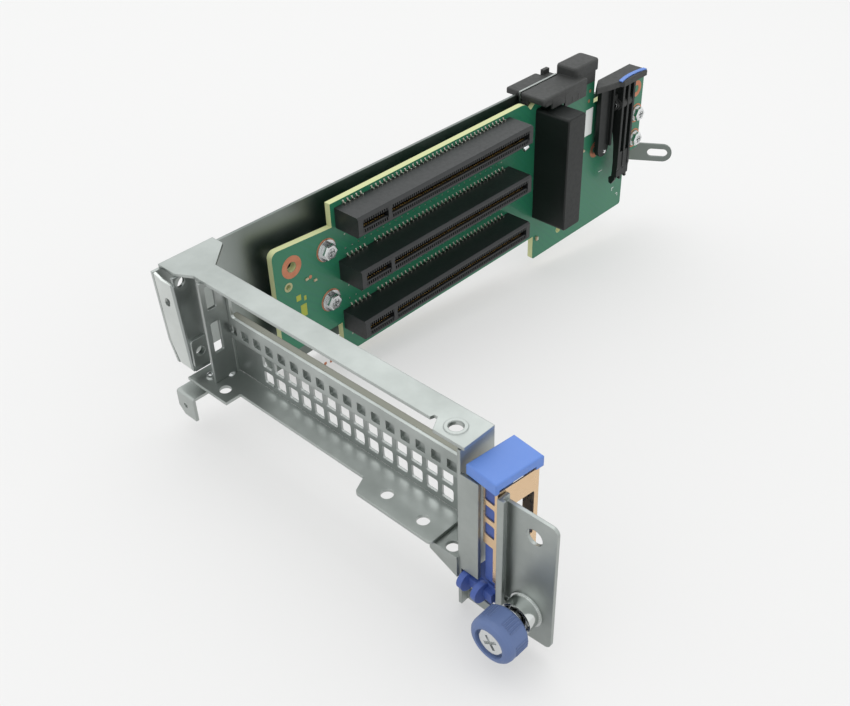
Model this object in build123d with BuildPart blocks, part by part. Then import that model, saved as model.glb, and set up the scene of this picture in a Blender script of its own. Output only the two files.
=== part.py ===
from build123d import *
from math import cos, sin, radians
import os

os.makedirs("parts", exist_ok=True)

# All sizes are in millimetres. The origin is contact 1 of the lowest card slot, on the
# circuit board's front face. +X runs out along the arm, +Y along the board and side wall,
# +Z up across the three slots.

# Folded steel
sheet = 1.0
fold_clear = 0.05
wall_face_x = -7.5
rear_face_y = -65.0
arm_top_z = 49.3

# Card slots
contact_pitch = 1.0
contacts_before_key = 11
contacts_after_key = 71
key_jump = 3.0
slot_pitch = 20.32
slot_count = 3
housing_height = 11.25
housing_width = 7.5
housing_end = 3.0
groove_width = 1.9
groove_depth = 8.2
key_width = 1.6
mouth_chamfer = 0.7
foot_length = 3.2
foot_height = 0.9
last_contact_y = contact_pitch * (contacts_before_key + contacts_after_key - 2) + key_jump
key_centre_y = contact_pitch * (contacts_before_key - 1) + key_jump / 2

# Circuit board
board_thickness = 2.4
board_lobe_y = -30.5
board_lobe_top = 39.6
board_lobe_bottom = -1.0
board_shoulder_y = -4.8
board_top = 46.4
board_bottom = -15.0
board_dip_y = 98.5
board_dip_depth = 3.4
board_raise_end = 139.4
board_raise_top = 45.2
board_far_top = 31.5
board_far_y = 175.6
board_deep_start = 102.6
board_deep_bottom = -26.0
board_deep_end = 165.6
board_far_bottom = -1.6
board_corner = 2.5
lobe_hole_y = -23.0
lobe_hole_z = 31.3
lobe_hole_r = 1.75
pilot_hole_y = -25.2
pilot_hole_z = 24.5
pilot_hole_r = 0.9

# Board fixings: (Y, Z) of each screw
near_screw_y = -8.0
near_screw_z = (30.7, 10.8)
far_screw_y = 171.8
far_screw_z = (15.7, 4.0)
mid_screw_y = 120.0
mid_screw_z = (-19.0,)
screw_r = 1.5
screw_clear = 0.2
screw_head_r = 3.0
screw_head_height = 2.1
screw_socket_depth = 1.0
washer_r = 3.9
washer_thickness = 0.6
standoff_r = 2.6

# Tall connector on the board
tall_start_y = 101.6
tall_width = 8.8
tall_height = 22.0
tall_bottom = -5.6
tall_top = 42.6
tall_corner = 1.2
tall_slot_width = 2.6
tall_slot_margin = 3.0
tall_slot_depth = 12.0

# Side wall
wall_fall = 2.9
wall_step_y = 128.0
wall_step_z = 29.5
wall_bottom = -12.0
wall_end_y = 181.0
wall_front_top = (-67.9, 48.2)
wall_front_mid = (-66.7, 22.9)
wall_front_low = (-65.2, 13.4)
wall_drop_y = (-38.0, -31.0)
wall_window = (-57.4, 38.9)
wall_window_r = 3.4
lug_length = 20.5
lug_width = 8.3
lug_low = -12.0
lug_turn = 58.0
lug_slot_r = 1.9
lug_slot_length = 9.0

# Arm: one folded channel
rail_front_y = -62.0
web_face_y = -55.0
arm_end_x = 111.8
rail_start_x = 4.6
pad_start_x = 98.2
pad_front_y = -64.9
pad_ring_x = 105.4
pad_ring_y = -60.6
pad_ring_r = 3.1
pad_hole_r = 1.9
pad_ring_height = 0.35
floor_top_z = 12.0
floor_front_y = -61.6
left_lobe_x = (-1.0, 17.8)
left_lobe_y = -67.1
right_lobe_x = (74.0, 102.0)
right_lobe_y = -67.2
lobe_hole_radius = 1.9
left_lobe_hole = (12.6, -63.2)
right_lobe_holes = ((81.1, -62.0), (95.0, -62.5))
stop_dimple = (4.4, -62.3)
stop_dimple_r = 1.5
stop_dimple_height = 0.6
web_start_x = 6.4
window_x = (9.6, 103.5)
top_window_z = (33.0, 47.3)
band_z = (25.2, 33.0)
lower_window_x = (8.4, 100.5)
vent_pitch = 5.56
vent_count = 17
vent_first_x = 9.6
vent_size = 3.3
vent_z = 28.4

# Perforated slot filler behind the arm's web
filler_thickness = 0.8
filler_gap = 0.0
filler_x = (8.4, 106.0)
filler_z = (12.05, 33.0)
filler_lip = 2.2
filler_pitch = 5.6
filler_columns = 14
filler_first_x = 23.2
filler_hole_x = 4.2
filler_hole_z = (4.9, 4.5)
filler_rows_z = (22.4, 16.2)
filler_corner = 0.7

# Rear corner: a front flange turned a little, and a side panel folded back from it
corner_x = 0.0
corner_back_y = -58.9
corner_low = 13.2
corner_yaw = 0.16
corner_lean = 0.05
corner_ref = (-65.6, 25.0)
corner_outline = ((-7.45, 48.2), (-4.6, 46.4), (0.0, 45.5), (0.0, 13.4), (-5.4, 15.0), (-7.45, 22.9))
corner_hole_r = 1.7
corner_holes = ((-64.1, 46.1), (-62.1, 20.4))
flange_hole = (-4.3, 38.6)
flange_hole_size = (3.2, 2.0)
tab_y = (-65.0, -58.7)
tab_z = (15.2, 25.2)
tongue_x = 8.2
tongue_front_y = -63.2
tongue_slot_y = (-61.6, -58.3)
tongue_slot_z = ((22.6, 33.6), (38.4, 46.6))

# Foot clip under the rear corner
clip_x = (-3.5, 4.8)
clip_shelf_z = 8.0
clip_back_y = -62.6
clip_front_y = -70.6
clip_bottom = -0.6
clip_chamfer = 2.6

# End bracket that holds the latch and the thumbscrew
post_x = 109.6
post_top = 47.7
post_depth = 12.4
seat_edge_x = 116.2
seat_z = (7.2, 40.2)
gusset = ((100.2, 9.9), (100.2, 8.0), (109.7, 3.8), (109.7, 9.9))
gusset_y = -64.7
hem = 2.0
bracket_low = -6.6
cross_top = -3.4
ear_x = (122.0, 137.9)
ear_face_y = -62.5
ear_z = (-4.2, 37.9)
ear_corner = 2.0
leg_front_y = -65.0
leg_top = 39.6
ear_hole = (131.4, 31.4)
ear_hole_r = 2.4
sill_x = 100.2
sill_top = 10.8
sill_front_y = -65.7
sill_hole = (106.2, -63.2)

# Card latch
latch_turn = -6.5
latch_width = 10.2
latch_depth = 15.6
latch_corner = (111.75, -64.2)
latch_top = 44.0
cap_height = 2.3
skirt_height = 1.0
skirt_width = 1.2
core_x = (5.2, 9.2)
core_depth = 3.0
core_set_back = 2.2
core_front = 1.4
base_top = 6.3
base_low = 0.9
base_back = 11.5
pivot_r = 1.2
pivot_clear = 0.06
pivot_y = 3.6
pivot_z = 3.6
pin_fit = 0.03
barrel_r = 3.0
toe_width = 1.8
toe_places = (-0.6, 4.7)
toe_y = -0.2
spring_sheet = 0.4
spring_low = 20.8
spring_leg_low = 9.0
window_pitch = 5.8
window_height = 4.2
window_count = 3
window_first_z = 37.7
side_opening = ((2.8, 13.2), (19.0, 33.6))
latch_open = 75.0

# Captive thumbscrew
thumb_x = 130.1
thumb_z = 5.2
ferrule_r = 4.6
ferrule_length = 4.4
ferrule_wall = 0.7
ferrule_flange_r = 5.1
ferrule_flange = 0.6
shank_r = 1.9
shank_clear = 0.08
shank_tip_y = -61.0
collar_r = 2.4
knob_gap = 2.4
knob_r = 7.0
knob_length = 7.8
knob_recess_r = 5.2
knob_recess = 3.6
knob_rib_groups = 6
knob_rib_angles = (-12, -4, 4, 12)
knob_rib = 0.3
thumb_travel = 3.0
head_r = 4.2
head_height = 1.1
head_recess = 0.5
cross_width = 0.9
cross_length = 4.6
thumb_washer_r = 4.4
thumb_washer = 0.5
thumb_spring_r = 3.5
thumb_spring_wire = 0.35
thumb_spring_turns = 5

# Grip on the wall's top edge
grip_y = (99.8, 127.4)
grip_over_block = 4.0
grip_seat = tall_top + grip_over_block
grip_plate = 1.8
grip_top = grip_seat + grip_plate
grip_nose = 1.6
grip_nose_drop = 4.1
board_gap = 0.1
grip_side_length = 15.0
grip_x = (-6.4, 5.2)
grip_wing_x = (-13.2, -8.6)
grip_wing_y = (100.4, 124.6)
grip_skirt = 3.6
grip_block_x = (-7.2, 3.4)
grip_block_y = (121.8, 138.0)
grip_block_height = 5.4
grip_peg = 1.3

# End latch on the far edge of the board
end_plate_y = (131.6, 138.7, 160.7)
end_top = 42.0
end_plate = 2.2
end_reach = 11.0
end_back = 1.7
end_back_plate = 1.4
end_body_y = (156.2, 167.6)
end_rib = 1.5
end_rib_count = 3
end_rib_reach = 7.4
end_low = -11.5
end_low_reach = 4.2
end_arm_y = (143.4, 149.8)
end_arm_low = 5.8
end_arm_reach = 3.6
end_arm_gap = 3.0
end_pivot_z = 28.6
end_pivot_x = 4.6
end_pivot_r = 1.0
end_ear = 2.0
end_ear_gap = 0.4
end_press = 6.0
stripe_y = (143.0, 160.0)
stripe_bow = 1.1
stripe_width = 1.7


def steel_sheet_yz(face_x):
    """Plane on the outer (+X) face of a sheet that lies in Y and Z."""
    return Plane.YZ.offset(face_x)


def steel_sheet_xz(face_y):
    """Plane on the front (-Y) face of a sheet that lies in X and Z."""
    return Plane.XZ.offset(-face_y)


# Side wall: a flat sheet with a stepped top edge, a raised rib and a turned lug at its far end
with BuildPart() as side_wall:
    with BuildSketch(steel_sheet_yz(wall_face_x)):
        with BuildLine():
            Polyline(
                (wall_drop_y[1], wall_bottom),
                (wall_drop_y[0], wall_front_low[1]),
                wall_front_low,
                wall_front_mid,
                wall_front_top,
                (wall_step_y, arm_top_z - wall_fall),
                (wall_step_y + 3 * sheet, wall_step_z),
                (wall_end_y, wall_step_z),
                (wall_end_y, wall_bottom),
                close=True,
            )
        make_face()
    extrude(amount=-sheet)
    fillet(side_wall.edges().filter_by(Axis.X).group_by(Axis.Y)[-1], radius=3 * sheet)
    with BuildSketch(steel_sheet_yz(wall_face_x)):
        for y in (near_screw_y, far_screw_y):
            zs = near_screw_z if y == near_screw_y else far_screw_z
            with Locations(*[(y, z) for z in zs]):
                Circle(screw_r + screw_clear)
        with Locations(wall_window):
            Circle(wall_window_r)
    extrude(amount=-sheet, mode=Mode.SUBTRACT)
    lug_plane = Plane(
        origin=(wall_face_x - sheet, wall_end_y - sheet, lug_low),
        x_dir=(sin(radians(lug_turn)), cos(radians(lug_turn)), 0),
        z_dir=(cos(radians(lug_turn)), -sin(radians(lug_turn)), 0),
    )
    with BuildSketch(lug_plane):
        with Locations((lug_length / 2 - lug_width / 4, lug_width / 2)):
            Rectangle(lug_length - lug_width / 2, lug_width)
        with Locations((lug_length - lug_width / 2, lug_width / 2)):
            Circle(lug_width / 2)
        with Locations((lug_length - lug_width / 2 - lug_slot_length / 4, lug_width / 2)):
            SlotOverall(lug_slot_length, 2 * lug_slot_r, mode=Mode.SUBTRACT)
    extrude(amount=sheet)
side_wall.part.label = "side_wall"
export_step(side_wall.part, "parts/side_wall.step")

# Arm: top rail, web with its windows and vents, and lower floor, folded from one sheet
with BuildPart() as arm:
    with BuildSketch(steel_sheet_xz(web_face_y)):
        with BuildLine():
            Polyline(
                (web_start_x, floor_top_z),
                (web_start_x, arm_top_z - sheet / 2),
                (post_x - fold_clear, arm_top_z - sheet / 2),
                (post_x - fold_clear, floor_top_z),
                close=True,
            )
        make_face()
        with Locations((sum(window_x) / 2, sum(top_window_z) / 2)):
            RectangleRounded(window_x[1] - window_x[0], top_window_z[1] - top_window_z[0], 1.0, mode=Mode.SUBTRACT)
        with Locations((sum(lower_window_x) / 2, (floor_top_z + band_z[0]) / 2)):
            Rectangle(lower_window_x[1] - lower_window_x[0], band_z[0] - floor_top_z, mode=Mode.SUBTRACT)
        with Locations(*[(vent_first_x + vent_pitch * i, vent_z) for i in range(vent_count)]):
            RectangleRounded(vent_size, vent_size, 0.4, mode=Mode.SUBTRACT)
    extrude(amount=-sheet)
    with BuildSketch(Plane.XY.offset(arm_top_z - sheet)):
        with BuildLine():
            Polyline(
                (wall_face_x - sheet, rear_face_y),
                (-0.6, rear_face_y),
                (rail_start_x, rail_front_y),
                (pad_start_x, rail_front_y),
                (pad_start_x + 0.4, rail_front_y + 1.2),
                (pad_start_x + 1.4, rail_front_y + 1.2),
                (pad_start_x + 3.6, pad_front_y),
                (arm_end_x, pad_front_y),
                (arm_end_x, web_face_y + sheet),
                (rail_start_x, web_face_y + sheet),
                (wall_face_x + 4, web_face_y + 10),
                (wall_face_x - sheet, web_face_y + 10),
                close=True,
            )
        make_face()
        with Locations((pad_ring_x, pad_ring_y)):
            Circle(pad_hole_r, mode=Mode.SUBTRACT)
    extrude(amount=sheet)
    with BuildSketch(Plane.XY.offset(arm_top_z)):
        with Locations((pad_ring_x, pad_ring_y)):
            Circle(pad_ring_r)
            Circle(pad_hole_r, mode=Mode.SUBTRACT)
    extrude(amount=pad_ring_height, taper=25)
    with BuildSketch(Plane.XY.offset(floor_top_z - sheet)):
        with BuildLine():
            Polyline(
                (left_lobe_x[0], left_lobe_y),
                (left_lobe_x[1], left_lobe_y),
                (left_lobe_x[1], floor_front_y),
                (right_lobe_x[0] - 2.4, floor_front_y),
                (right_lobe_x[0], right_lobe_y),
                (right_lobe_x[1], right_lobe_y),
                (right_lobe_x[1], web_face_y),
                (post_x - fold_clear, web_face_y),
                (post_x - fold_clear, web_face_y + sheet),
                (left_lobe_x[0], web_face_y + sheet),
                close=True,
            )
        make_face()
        with Locations(left_lobe_hole, *right_lobe_holes):
            Circle(lobe_hole_radius, mode=Mode.SUBTRACT)
    extrude(amount=sheet)
    fillet(arm.edges().filter_by(Axis.Z).group_by(Axis.Y)[0], radius=1.6)
    with BuildSketch(Plane.XY.offset(floor_top_z)):
        with Locations(stop_dimple):
            Circle(stop_dimple_r)
    extrude(amount=stop_dimple_height, taper=30)
arm.part.label = "arm"
export_step(arm.part, "parts/arm.step")

# Slot filler: flat perforated sheet that closes the middle card opening
with BuildPart() as slot_filler:
    with BuildSketch(steel_sheet_xz(web_face_y + sheet + filler_gap)):
        with Locations((sum(filler_x) / 2, sum(filler_z) / 2)):
            Rectangle(filler_x[1] - filler_x[0], filler_z[1] - filler_z[0])
        columns = [filler_first_x + filler_pitch * i for i in range(filler_columns)]
        for row_z, row_height in zip(filler_rows_z, filler_hole_z):
            with Locations(*[(x, row_z) for x in columns]):
                RectangleRounded(filler_hole_x, row_height, filler_corner, mode=Mode.SUBTRACT)
    extrude(amount=-filler_thickness)
    with BuildSketch(Plane.XY.offset(filler_z[1])):
        with Locations((sum(filler_x) / 2, web_face_y + sheet + filler_lip / 2)):
            Rectangle(filler_x[1] - filler_x[0], filler_lip)
    extrude(amount=-filler_thickness)
slot_filler.part.label = "slot_filler"
export_step(slot_filler.part, "parts/slot_filler.step")

# Rear bracket: tapered flange across the corner, and the side panel folded back from it
flange_plane = Plane(
    origin=(corner_x, corner_ref[0], corner_ref[1]),
    x_dir=(1, corner_yaw, 0),
    z_dir=(corner_yaw, -1, -corner_lean),
)
panel_front = [corner_ref[0] - corner_lean * (z - corner_ref[1]) for z in (corner_low, arm_top_z)]
with BuildPart() as rear_bracket:
    with BuildSketch(flange_plane):
        with BuildLine():
            Polyline(*[(x, z - corner_ref[1]) for x, z in corner_outline], close=True)
        make_face()
        with Locations((flange_hole[0], flange_hole[1] - corner_ref[1])):
            SlotOverall(flange_hole_size[0], flange_hole_size[1], rotation=75, mode=Mode.SUBTRACT)
    extrude(amount=-sheet)
    with BuildSketch(steel_sheet_yz(corner_x)):
        with BuildLine():
            Polyline(
                (panel_front[0] + sheet / 2, corner_low),
                (panel_front[1] + sheet / 2, arm_top_z - sheet - fold_clear),
                (corner_back_y, arm_top_z - sheet - fold_clear),
                (corner_back_y, corner_low),
                close=True,
            )
        make_face()
        with Locations(*corner_holes):
            Circle(corner_hole_r, mode=Mode.SUBTRACT)
    extrude(amount=-sheet)
rear_bracket.part.label = "rear_bracket"
export_step(rear_bracket.part, "parts/rear_bracket.step")

# Corner tab: short plate that laps over the side panel
with BuildPart() as corner_tab:
    with BuildSketch(steel_sheet_yz(corner_x)):
        with Locations((sum(tab_y) / 2, sum(tab_z) / 2)):
            RectangleRounded(tab_y[1] - tab_y[0], tab_z[1] - tab_z[0], sheet)
        with Locations(corner_holes[1]):
            Circle(corner_hole_r, mode=Mode.SUBTRACT)
    extrude(amount=sheet)
corner_tab.part.label = "corner_tab"
export_step(corner_tab.part, "parts/corner_tab.step")

# Tongue plate: takes the lower tongues of the card brackets, between side panel and web
tongue_width = web_face_y - fold_clear - tongue_front_y
tongue_height = arm_top_z - sheet - floor_top_z - 2 * fold_clear
with BuildPart() as tongue_plate:
    with BuildSketch(steel_sheet_yz(tongue_x)):
        with Locations((tongue_front_y + tongue_width / 2, (floor_top_z + arm_top_z - sheet) / 2)):
            Rectangle(tongue_width, tongue_height)
        for low, high in tongue_slot_z:
            with Locations((sum(tongue_slot_y) / 2, (low + high) / 2)):
                RectangleRounded(tongue_slot_y[1] - tongue_slot_y[0], high - low, 0.6, mode=Mode.SUBTRACT)
    extrude(amount=-sheet)
tongue_plate.part.label = "tongue_plate"
export_step(tongue_plate.part, "parts/tongue_plate.step")

# Foot clip: folded hook under the floor of the arm
with BuildPart() as foot_clip:
    with BuildSketch(Plane.XY.offset(clip_shelf_z - sheet)):
        with Locations((sum(clip_x) / 2, (clip_back_y + clip_front_y) / 2)):
            Rectangle(clip_x[1] - clip_x[0], clip_back_y - clip_front_y)
    extrude(amount=sheet)
    with BuildSketch(steel_sheet_xz(clip_front_y)):
        with BuildLine():
            Polyline(
                (clip_x[0], clip_shelf_z),
                (clip_x[1], clip_shelf_z),
                (clip_x[1], clip_bottom),
                (clip_x[0] + clip_chamfer, clip_bottom),
                (clip_x[0], clip_bottom + clip_chamfer),
                close=True,
            )
        make_face()
        with Locations((0.2, 3.4)):
            Circle(0.9, mode=Mode.SUBTRACT)
    extrude(amount=-sheet)
    with BuildSketch(steel_sheet_xz(clip_back_y)):
        with Locations(((clip_x[1] - 0.9) / 2, (clip_shelf_z + floor_top_z - 2 * sheet) / 2)):
            Rectangle(clip_x[1] + 0.9, floor_top_z - clip_shelf_z)
    extrude(amount=sheet)
    with BuildSketch(Plane.XY.offset(floor_top_z - 2 * sheet)):
        with Locations(((clip_x[1] - 0.9) / 2, clip_back_y + 2.0)):
            Rectangle(clip_x[1] + 0.9, 6.0)
    extrude(amount=sheet)
    fillet(foot_clip.edges().filter_by(Axis.X).group_by(Axis.Y)[0].sort_by(Axis.Z)[-1], radius=0.9)
foot_clip.part.label = "foot_clip"
export_step(foot_clip.part, "parts/foot_clip.step")

# Latch frame: local X' across the latch, Y' along its depth, turned a little about Z
latch_plane = Plane(
    origin=(latch_corner[0], latch_corner[1], 0),
    x_dir=(cos(radians(latch_turn)), sin(radians(latch_turn)), 0),
    z_dir=(0, 0, 1),
)
pivot_plane = Plane(
    origin=latch_plane.from_local_coords((0, pivot_y, pivot_z)),
    x_dir=latch_plane.y_dir,
    z_dir=latch_plane.x_dir,
)

# End bracket: post with the card-tab seat, cross strip, ear for the thumbscrew and sill, one sheet
with BuildPart() as end_bracket:
    with BuildSketch(steel_sheet_yz(post_x + sheet)):
        with Locations((rear_face_y + post_depth / 2, (post_top + bracket_low) / 2)):
            Rectangle(post_depth, post_top - bracket_low)
    extrude(amount=-sheet)
    with BuildSketch(steel_sheet_xz(ear_face_y)):
        with Locations(((post_x + ear_x[0]) / 2, (bracket_low + cross_top) / 2)):
            Rectangle(ear_x[0] - post_x + 2 * sheet, cross_top - bracket_low)
        with BuildLine():
            Polyline(
                (ear_x[0], bracket_low + 1.2),
                (ear_x[1], ear_z[0]),
                (ear_x[1], ear_z[1]),
                (ear_x[0], ear_z[1]),
                close=True,
            )
        make_face()
    extrude(amount=-sheet)
    with BuildSketch(steel_sheet_yz(ear_x[0] + sheet)):
        with Locations(((leg_front_y + ear_face_y + sheet) / 2, (leg_top + ear_z[0]) / 2)):
            Rectangle(ear_face_y + sheet - leg_front_y, leg_top - ear_z[0])
    extrude(amount=-sheet)
    with BuildSketch(steel_sheet_xz(leg_front_y)):
        with Locations((ear_x[0] + hem / 2, (leg_top + ear_z[0]) / 2)):
            Rectangle(hem, leg_top - ear_z[0])
        with Locations(((post_x + seat_edge_x) / 2, sum(seat_z) / 2)):
            Rectangle(seat_edge_x - post_x, seat_z[1] - seat_z[0])
    extrude(amount=-sheet)
    with BuildSketch(steel_sheet_xz(gusset_y - sheet)):
        with BuildLine():
            Polyline(*gusset, close=True)
        make_face()
    extrude(amount=-sheet)
    with BuildSketch(Plane.XY.offset(sill_top - sheet)):
        with Locations(((sill_x + post_x) / 2, (sill_front_y + web_face_y - 1) / 2)):
            Rectangle(post_x - sill_x, web_face_y - 1 - sill_front_y)
        with Locations(sill_hole):
            Circle(lobe_hole_radius, mode=Mode.SUBTRACT)
    extrude(amount=sheet)
    fillet(end_bracket.edges().filter_by(Axis.Y).group_by(Axis.X)[-1], radius=ear_corner)
    with BuildSketch(steel_sheet_xz(ear_face_y)):
        with Locations(ear_hole):
            Circle(ear_hole_r)
        with Locations((thumb_x, thumb_z)):
            Circle(ferrule_r + fold_clear)
    extrude(amount=-sheet, mode=Mode.SUBTRACT)
    with BuildSketch(pivot_plane.offset(-6)):
        Circle(pivot_r + pin_fit)
    extrude(amount=24, mode=Mode.SUBTRACT)
end_bracket.part.label = "end_bracket"
export_step(end_bracket.part, "parts/end_bracket.step")

# Circuit board with stepped outline and holes
wavy_top = board_top - board_dip_depth
with BuildPart() as circuit_board:
    with BuildSketch(steel_sheet_yz(0)) as board_outline:
        with BuildLine():
            Polyline(
                (board_lobe_y, board_lobe_bottom),
                (board_lobe_y, board_lobe_top),
                (board_shoulder_y, board_lobe_top - 1.8),
                (board_shoulder_y, board_top),
                (board_dip_y - 6, board_top),
            )
            Spline(
                (board_dip_y - 6, board_top),
                (board_dip_y, wavy_top),
                (board_dip_y + 5, board_raise_top),
                tangents=((1, 0), (1, 0)),
            )
            Polyline(
                (board_dip_y + 5, board_raise_top),
                (board_raise_end, board_raise_top),
                (board_raise_end, board_far_top),
                (board_far_y, board_far_top),
                (board_far_y, board_far_bottom),
                (board_deep_end, board_far_bottom),
                (board_deep_end, board_deep_bottom),
                (board_deep_start, board_deep_bottom),
                (board_deep_start, board_bottom),
                (board_shoulder_y + 1, board_bottom),
                (board_shoulder_y + 1, board_lobe_bottom),
                (board_lobe_y, board_lobe_bottom),
            )
        make_face()
        fillet(board_outline.vertices().group_by(Axis.X)[0].sort_by(Axis.Y)[-1], radius=board_corner)
        fillet(board_outline.vertices().group_by(Axis.Y)[0], radius=1.2)
        with Locations((lobe_hole_y, lobe_hole_z)):
            Circle(lobe_hole_r, mode=Mode.SUBTRACT)
        with Locations((pilot_hole_y, pilot_hole_z)):
            Circle(pilot_hole_r, mode=Mode.SUBTRACT)
        with Locations(*[(near_screw_y, z) for z in near_screw_z], *[(far_screw_y, z) for z in far_screw_z]):
            Circle(screw_r + screw_clear, mode=Mode.SUBTRACT)
        with Locations(*[(mid_screw_y, z) for z in mid_screw_z]):
            Circle(screw_r + screw_clear, mode=Mode.SUBTRACT)
    extrude(amount=-board_thickness)
circuit_board.part.label = "circuit_board"
export_step(circuit_board.part, "parts/circuit_board.step")

# Card slots: three identical housings with a keyed groove and a flared mouth
housing_mid_y = last_contact_y / 2
housing_length = last_contact_y + 2 * housing_end
groove_start = -0.9
groove_end = last_contact_y + 0.9
for index in range(slot_count):
    slot_z = slot_pitch * index
    with BuildPart() as slot_housing:
        with BuildSketch(steel_sheet_yz(0)):
            with Locations((housing_mid_y, slot_z)):
                Rectangle(housing_length, housing_width)
        extrude(amount=housing_height)
        chamfer(slot_housing.faces().sort_by(Axis.X)[-1].edges().filter_by(Axis.Y), length=mouth_chamfer)
        with BuildSketch(steel_sheet_yz(housing_height)):
            with Locations(((groove_start + key_centre_y - key_width / 2) / 2, slot_z)):
                Rectangle(key_centre_y - key_width / 2 - groove_start, groove_width)
            with Locations(((groove_end + key_centre_y + key_width / 2) / 2, slot_z)):
                Rectangle(groove_end - key_centre_y - key_width / 2, groove_width)
        extrude(amount=-groove_depth, mode=Mode.SUBTRACT)
        with BuildSketch(steel_sheet_yz(housing_height)):
            with Locations((housing_mid_y, slot_z)):
                Rectangle(groove_end - groove_start, groove_width + 1.2)
        extrude(amount=-0.6, taper=45, mode=Mode.SUBTRACT)
        with BuildSketch(Plane.XY.offset(slot_z - housing_width / 2)):
            for y in (groove_start + 2, key_centre_y, groove_end - 2):
                with Locations((foot_height, y)):
                    Rectangle(2 * foot_height, foot_length)
        extrude(amount=-0.7)
    slot_housing.part.label = f"slot_{index + 1}"
    export_step(slot_housing.part, f"parts/slot_{index + 1}.step")

# Solder tails: one short bent lead for every second contact, on both sides of each housing
lead_y = [contact_pitch * n for n in range(1, contacts_before_key, 2)]
lead_y += [contact_pitch * n + key_jump for n in range(contacts_before_key, contacts_before_key + contacts_after_key - 1, 2)]
lead_width = 0.5
lead_reach = 0.65
lead_height = 1.3
with BuildPart() as slot_leads:
    with BuildSketch(steel_sheet_yz(0)):
        for index in range(slot_count):
            for side in (-1, 1):
                lead_z = slot_pitch * index + side * (housing_width + lead_reach) / 2
                free_y = [y for y in lead_y if side > 0 or min(abs(y - f) for f in (groove_start + 2, key_centre_y, groove_end - 2)) > 2.4]
                with Locations(*[(y, lead_z) for y in free_y]):
                    Rectangle(lead_width, lead_reach)
    extrude(amount=lead_height)
slot_leads.part.label = "slot_leads"
export_step(slot_leads.part, "parts/slot_leads.step")

# Tall connector: closed rounded block with a narrow mouth on its far face
tall_mid_y = tall_start_y + tall_width / 2
tall_mid_z = (tall_bottom + tall_top) / 2
with BuildPart() as tall_connector:
    with BuildSketch(steel_sheet_yz(0)):
        with Locations((tall_mid_y, tall_mid_z)):
            RectangleRounded(tall_width, tall_top - tall_bottom, tall_corner)
    extrude(amount=tall_height)
    chamfer(tall_connector.faces().sort_by(Axis.X)[-1].edges(), length=0.4)
tall_connector.part.label = "tall_connector"
export_step(tall_connector.part, "parts/tall_connector.step")

# Screws that hold the board: each a pan head over a washer, with a shank into its spacer
screw_places = [(near_screw_y, z) for z in near_screw_z] + [(far_screw_y, z) for z in far_screw_z]
spacer_length = -board_thickness - wall_face_x
with BuildPart() as board_washers:
    with BuildSketch(steel_sheet_yz(0)):
        with Locations(*screw_places[:2]):
            Circle(washer_r)
        with Locations(*screw_places[2:]):
            Circle(washer_r - 0.6)
        with Locations(*screw_places):
            Circle(screw_r + screw_clear, mode=Mode.SUBTRACT)
    extrude(amount=washer_thickness)
board_washers.part.label = "board_washers"
export_step(board_washers.part, "parts/board_washers.step")

with BuildPart() as board_screws:
    with BuildSketch(steel_sheet_yz(washer_thickness)):
        with Locations(*screw_places):
            RegularPolygon(screw_head_r, 6)
    extrude(amount=screw_head_height)
    chamfer(board_screws.faces().filter_by(Axis.X).group_by(Axis.X)[-1].edges(), length=0.35)
    with BuildSketch(steel_sheet_yz(washer_thickness + screw_head_height)):
        with Locations(*screw_places):
            Circle(1.5)
    extrude(amount=-screw_socket_depth, mode=Mode.SUBTRACT)
    with BuildSketch(steel_sheet_yz(washer_thickness)):
        with Locations(*screw_places):
            Circle(screw_r)
    extrude(amount=-(washer_thickness + board_thickness + spacer_length - 0.4))
board_screws.part.label = "board_screws"
export_step(board_screws.part, "parts/board_screws.step")

# Spacers between board and wall, threaded for the screws
with BuildPart() as board_spacers:
    with BuildSketch(steel_sheet_yz(-board_thickness)):
        with Locations(*screw_places):
            RegularPolygon(standoff_r, 6)
        with Locations(*screw_places):
            Circle(screw_r + fold_clear, mode=Mode.SUBTRACT)
    extrude(amount=-spacer_length)
board_spacers.part.label = "board_spacers"
export_step(board_spacers.part, "parts/board_spacers.step")

# Small parts on the board: (Y, Z, size along Y, size along Z, height)
chip_list = (
    (168.0, -1.5, 1.6, 0.9, 0.7),
    (162.5, -8.5, 1.6, 0.9, 0.7),
    (104.8, -16.6, 0.9, 1.7, 0.8),
    (-14.0, 22.0, 1.2, 0.7, 0.5),
    (-17.5, 24.0, 1.2, 0.7, 0.5),
    (93.5, 30.4, 1.6, 0.9, 0.7),
    (95.0, 10.2, 1.6, 0.9, 0.7),
    (128.0, 4.0, 3.0, 3.0, 0.9),
    (134.0, 12.0, 1.6, 0.9, 0.7),
    (120.0, -10.0, 1.6, 0.9, 0.7),
)
with BuildPart() as board_chips:
    for y, z, along_y, along_z, height in chip_list:
        with BuildSketch(steel_sheet_yz(0)):
            with Locations((y, z)):
                Rectangle(along_y, along_z)
        extrude(amount=height)
board_chips.part.label = "board_chips"
export_step(board_chips.part, "parts/board_chips.step")

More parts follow.
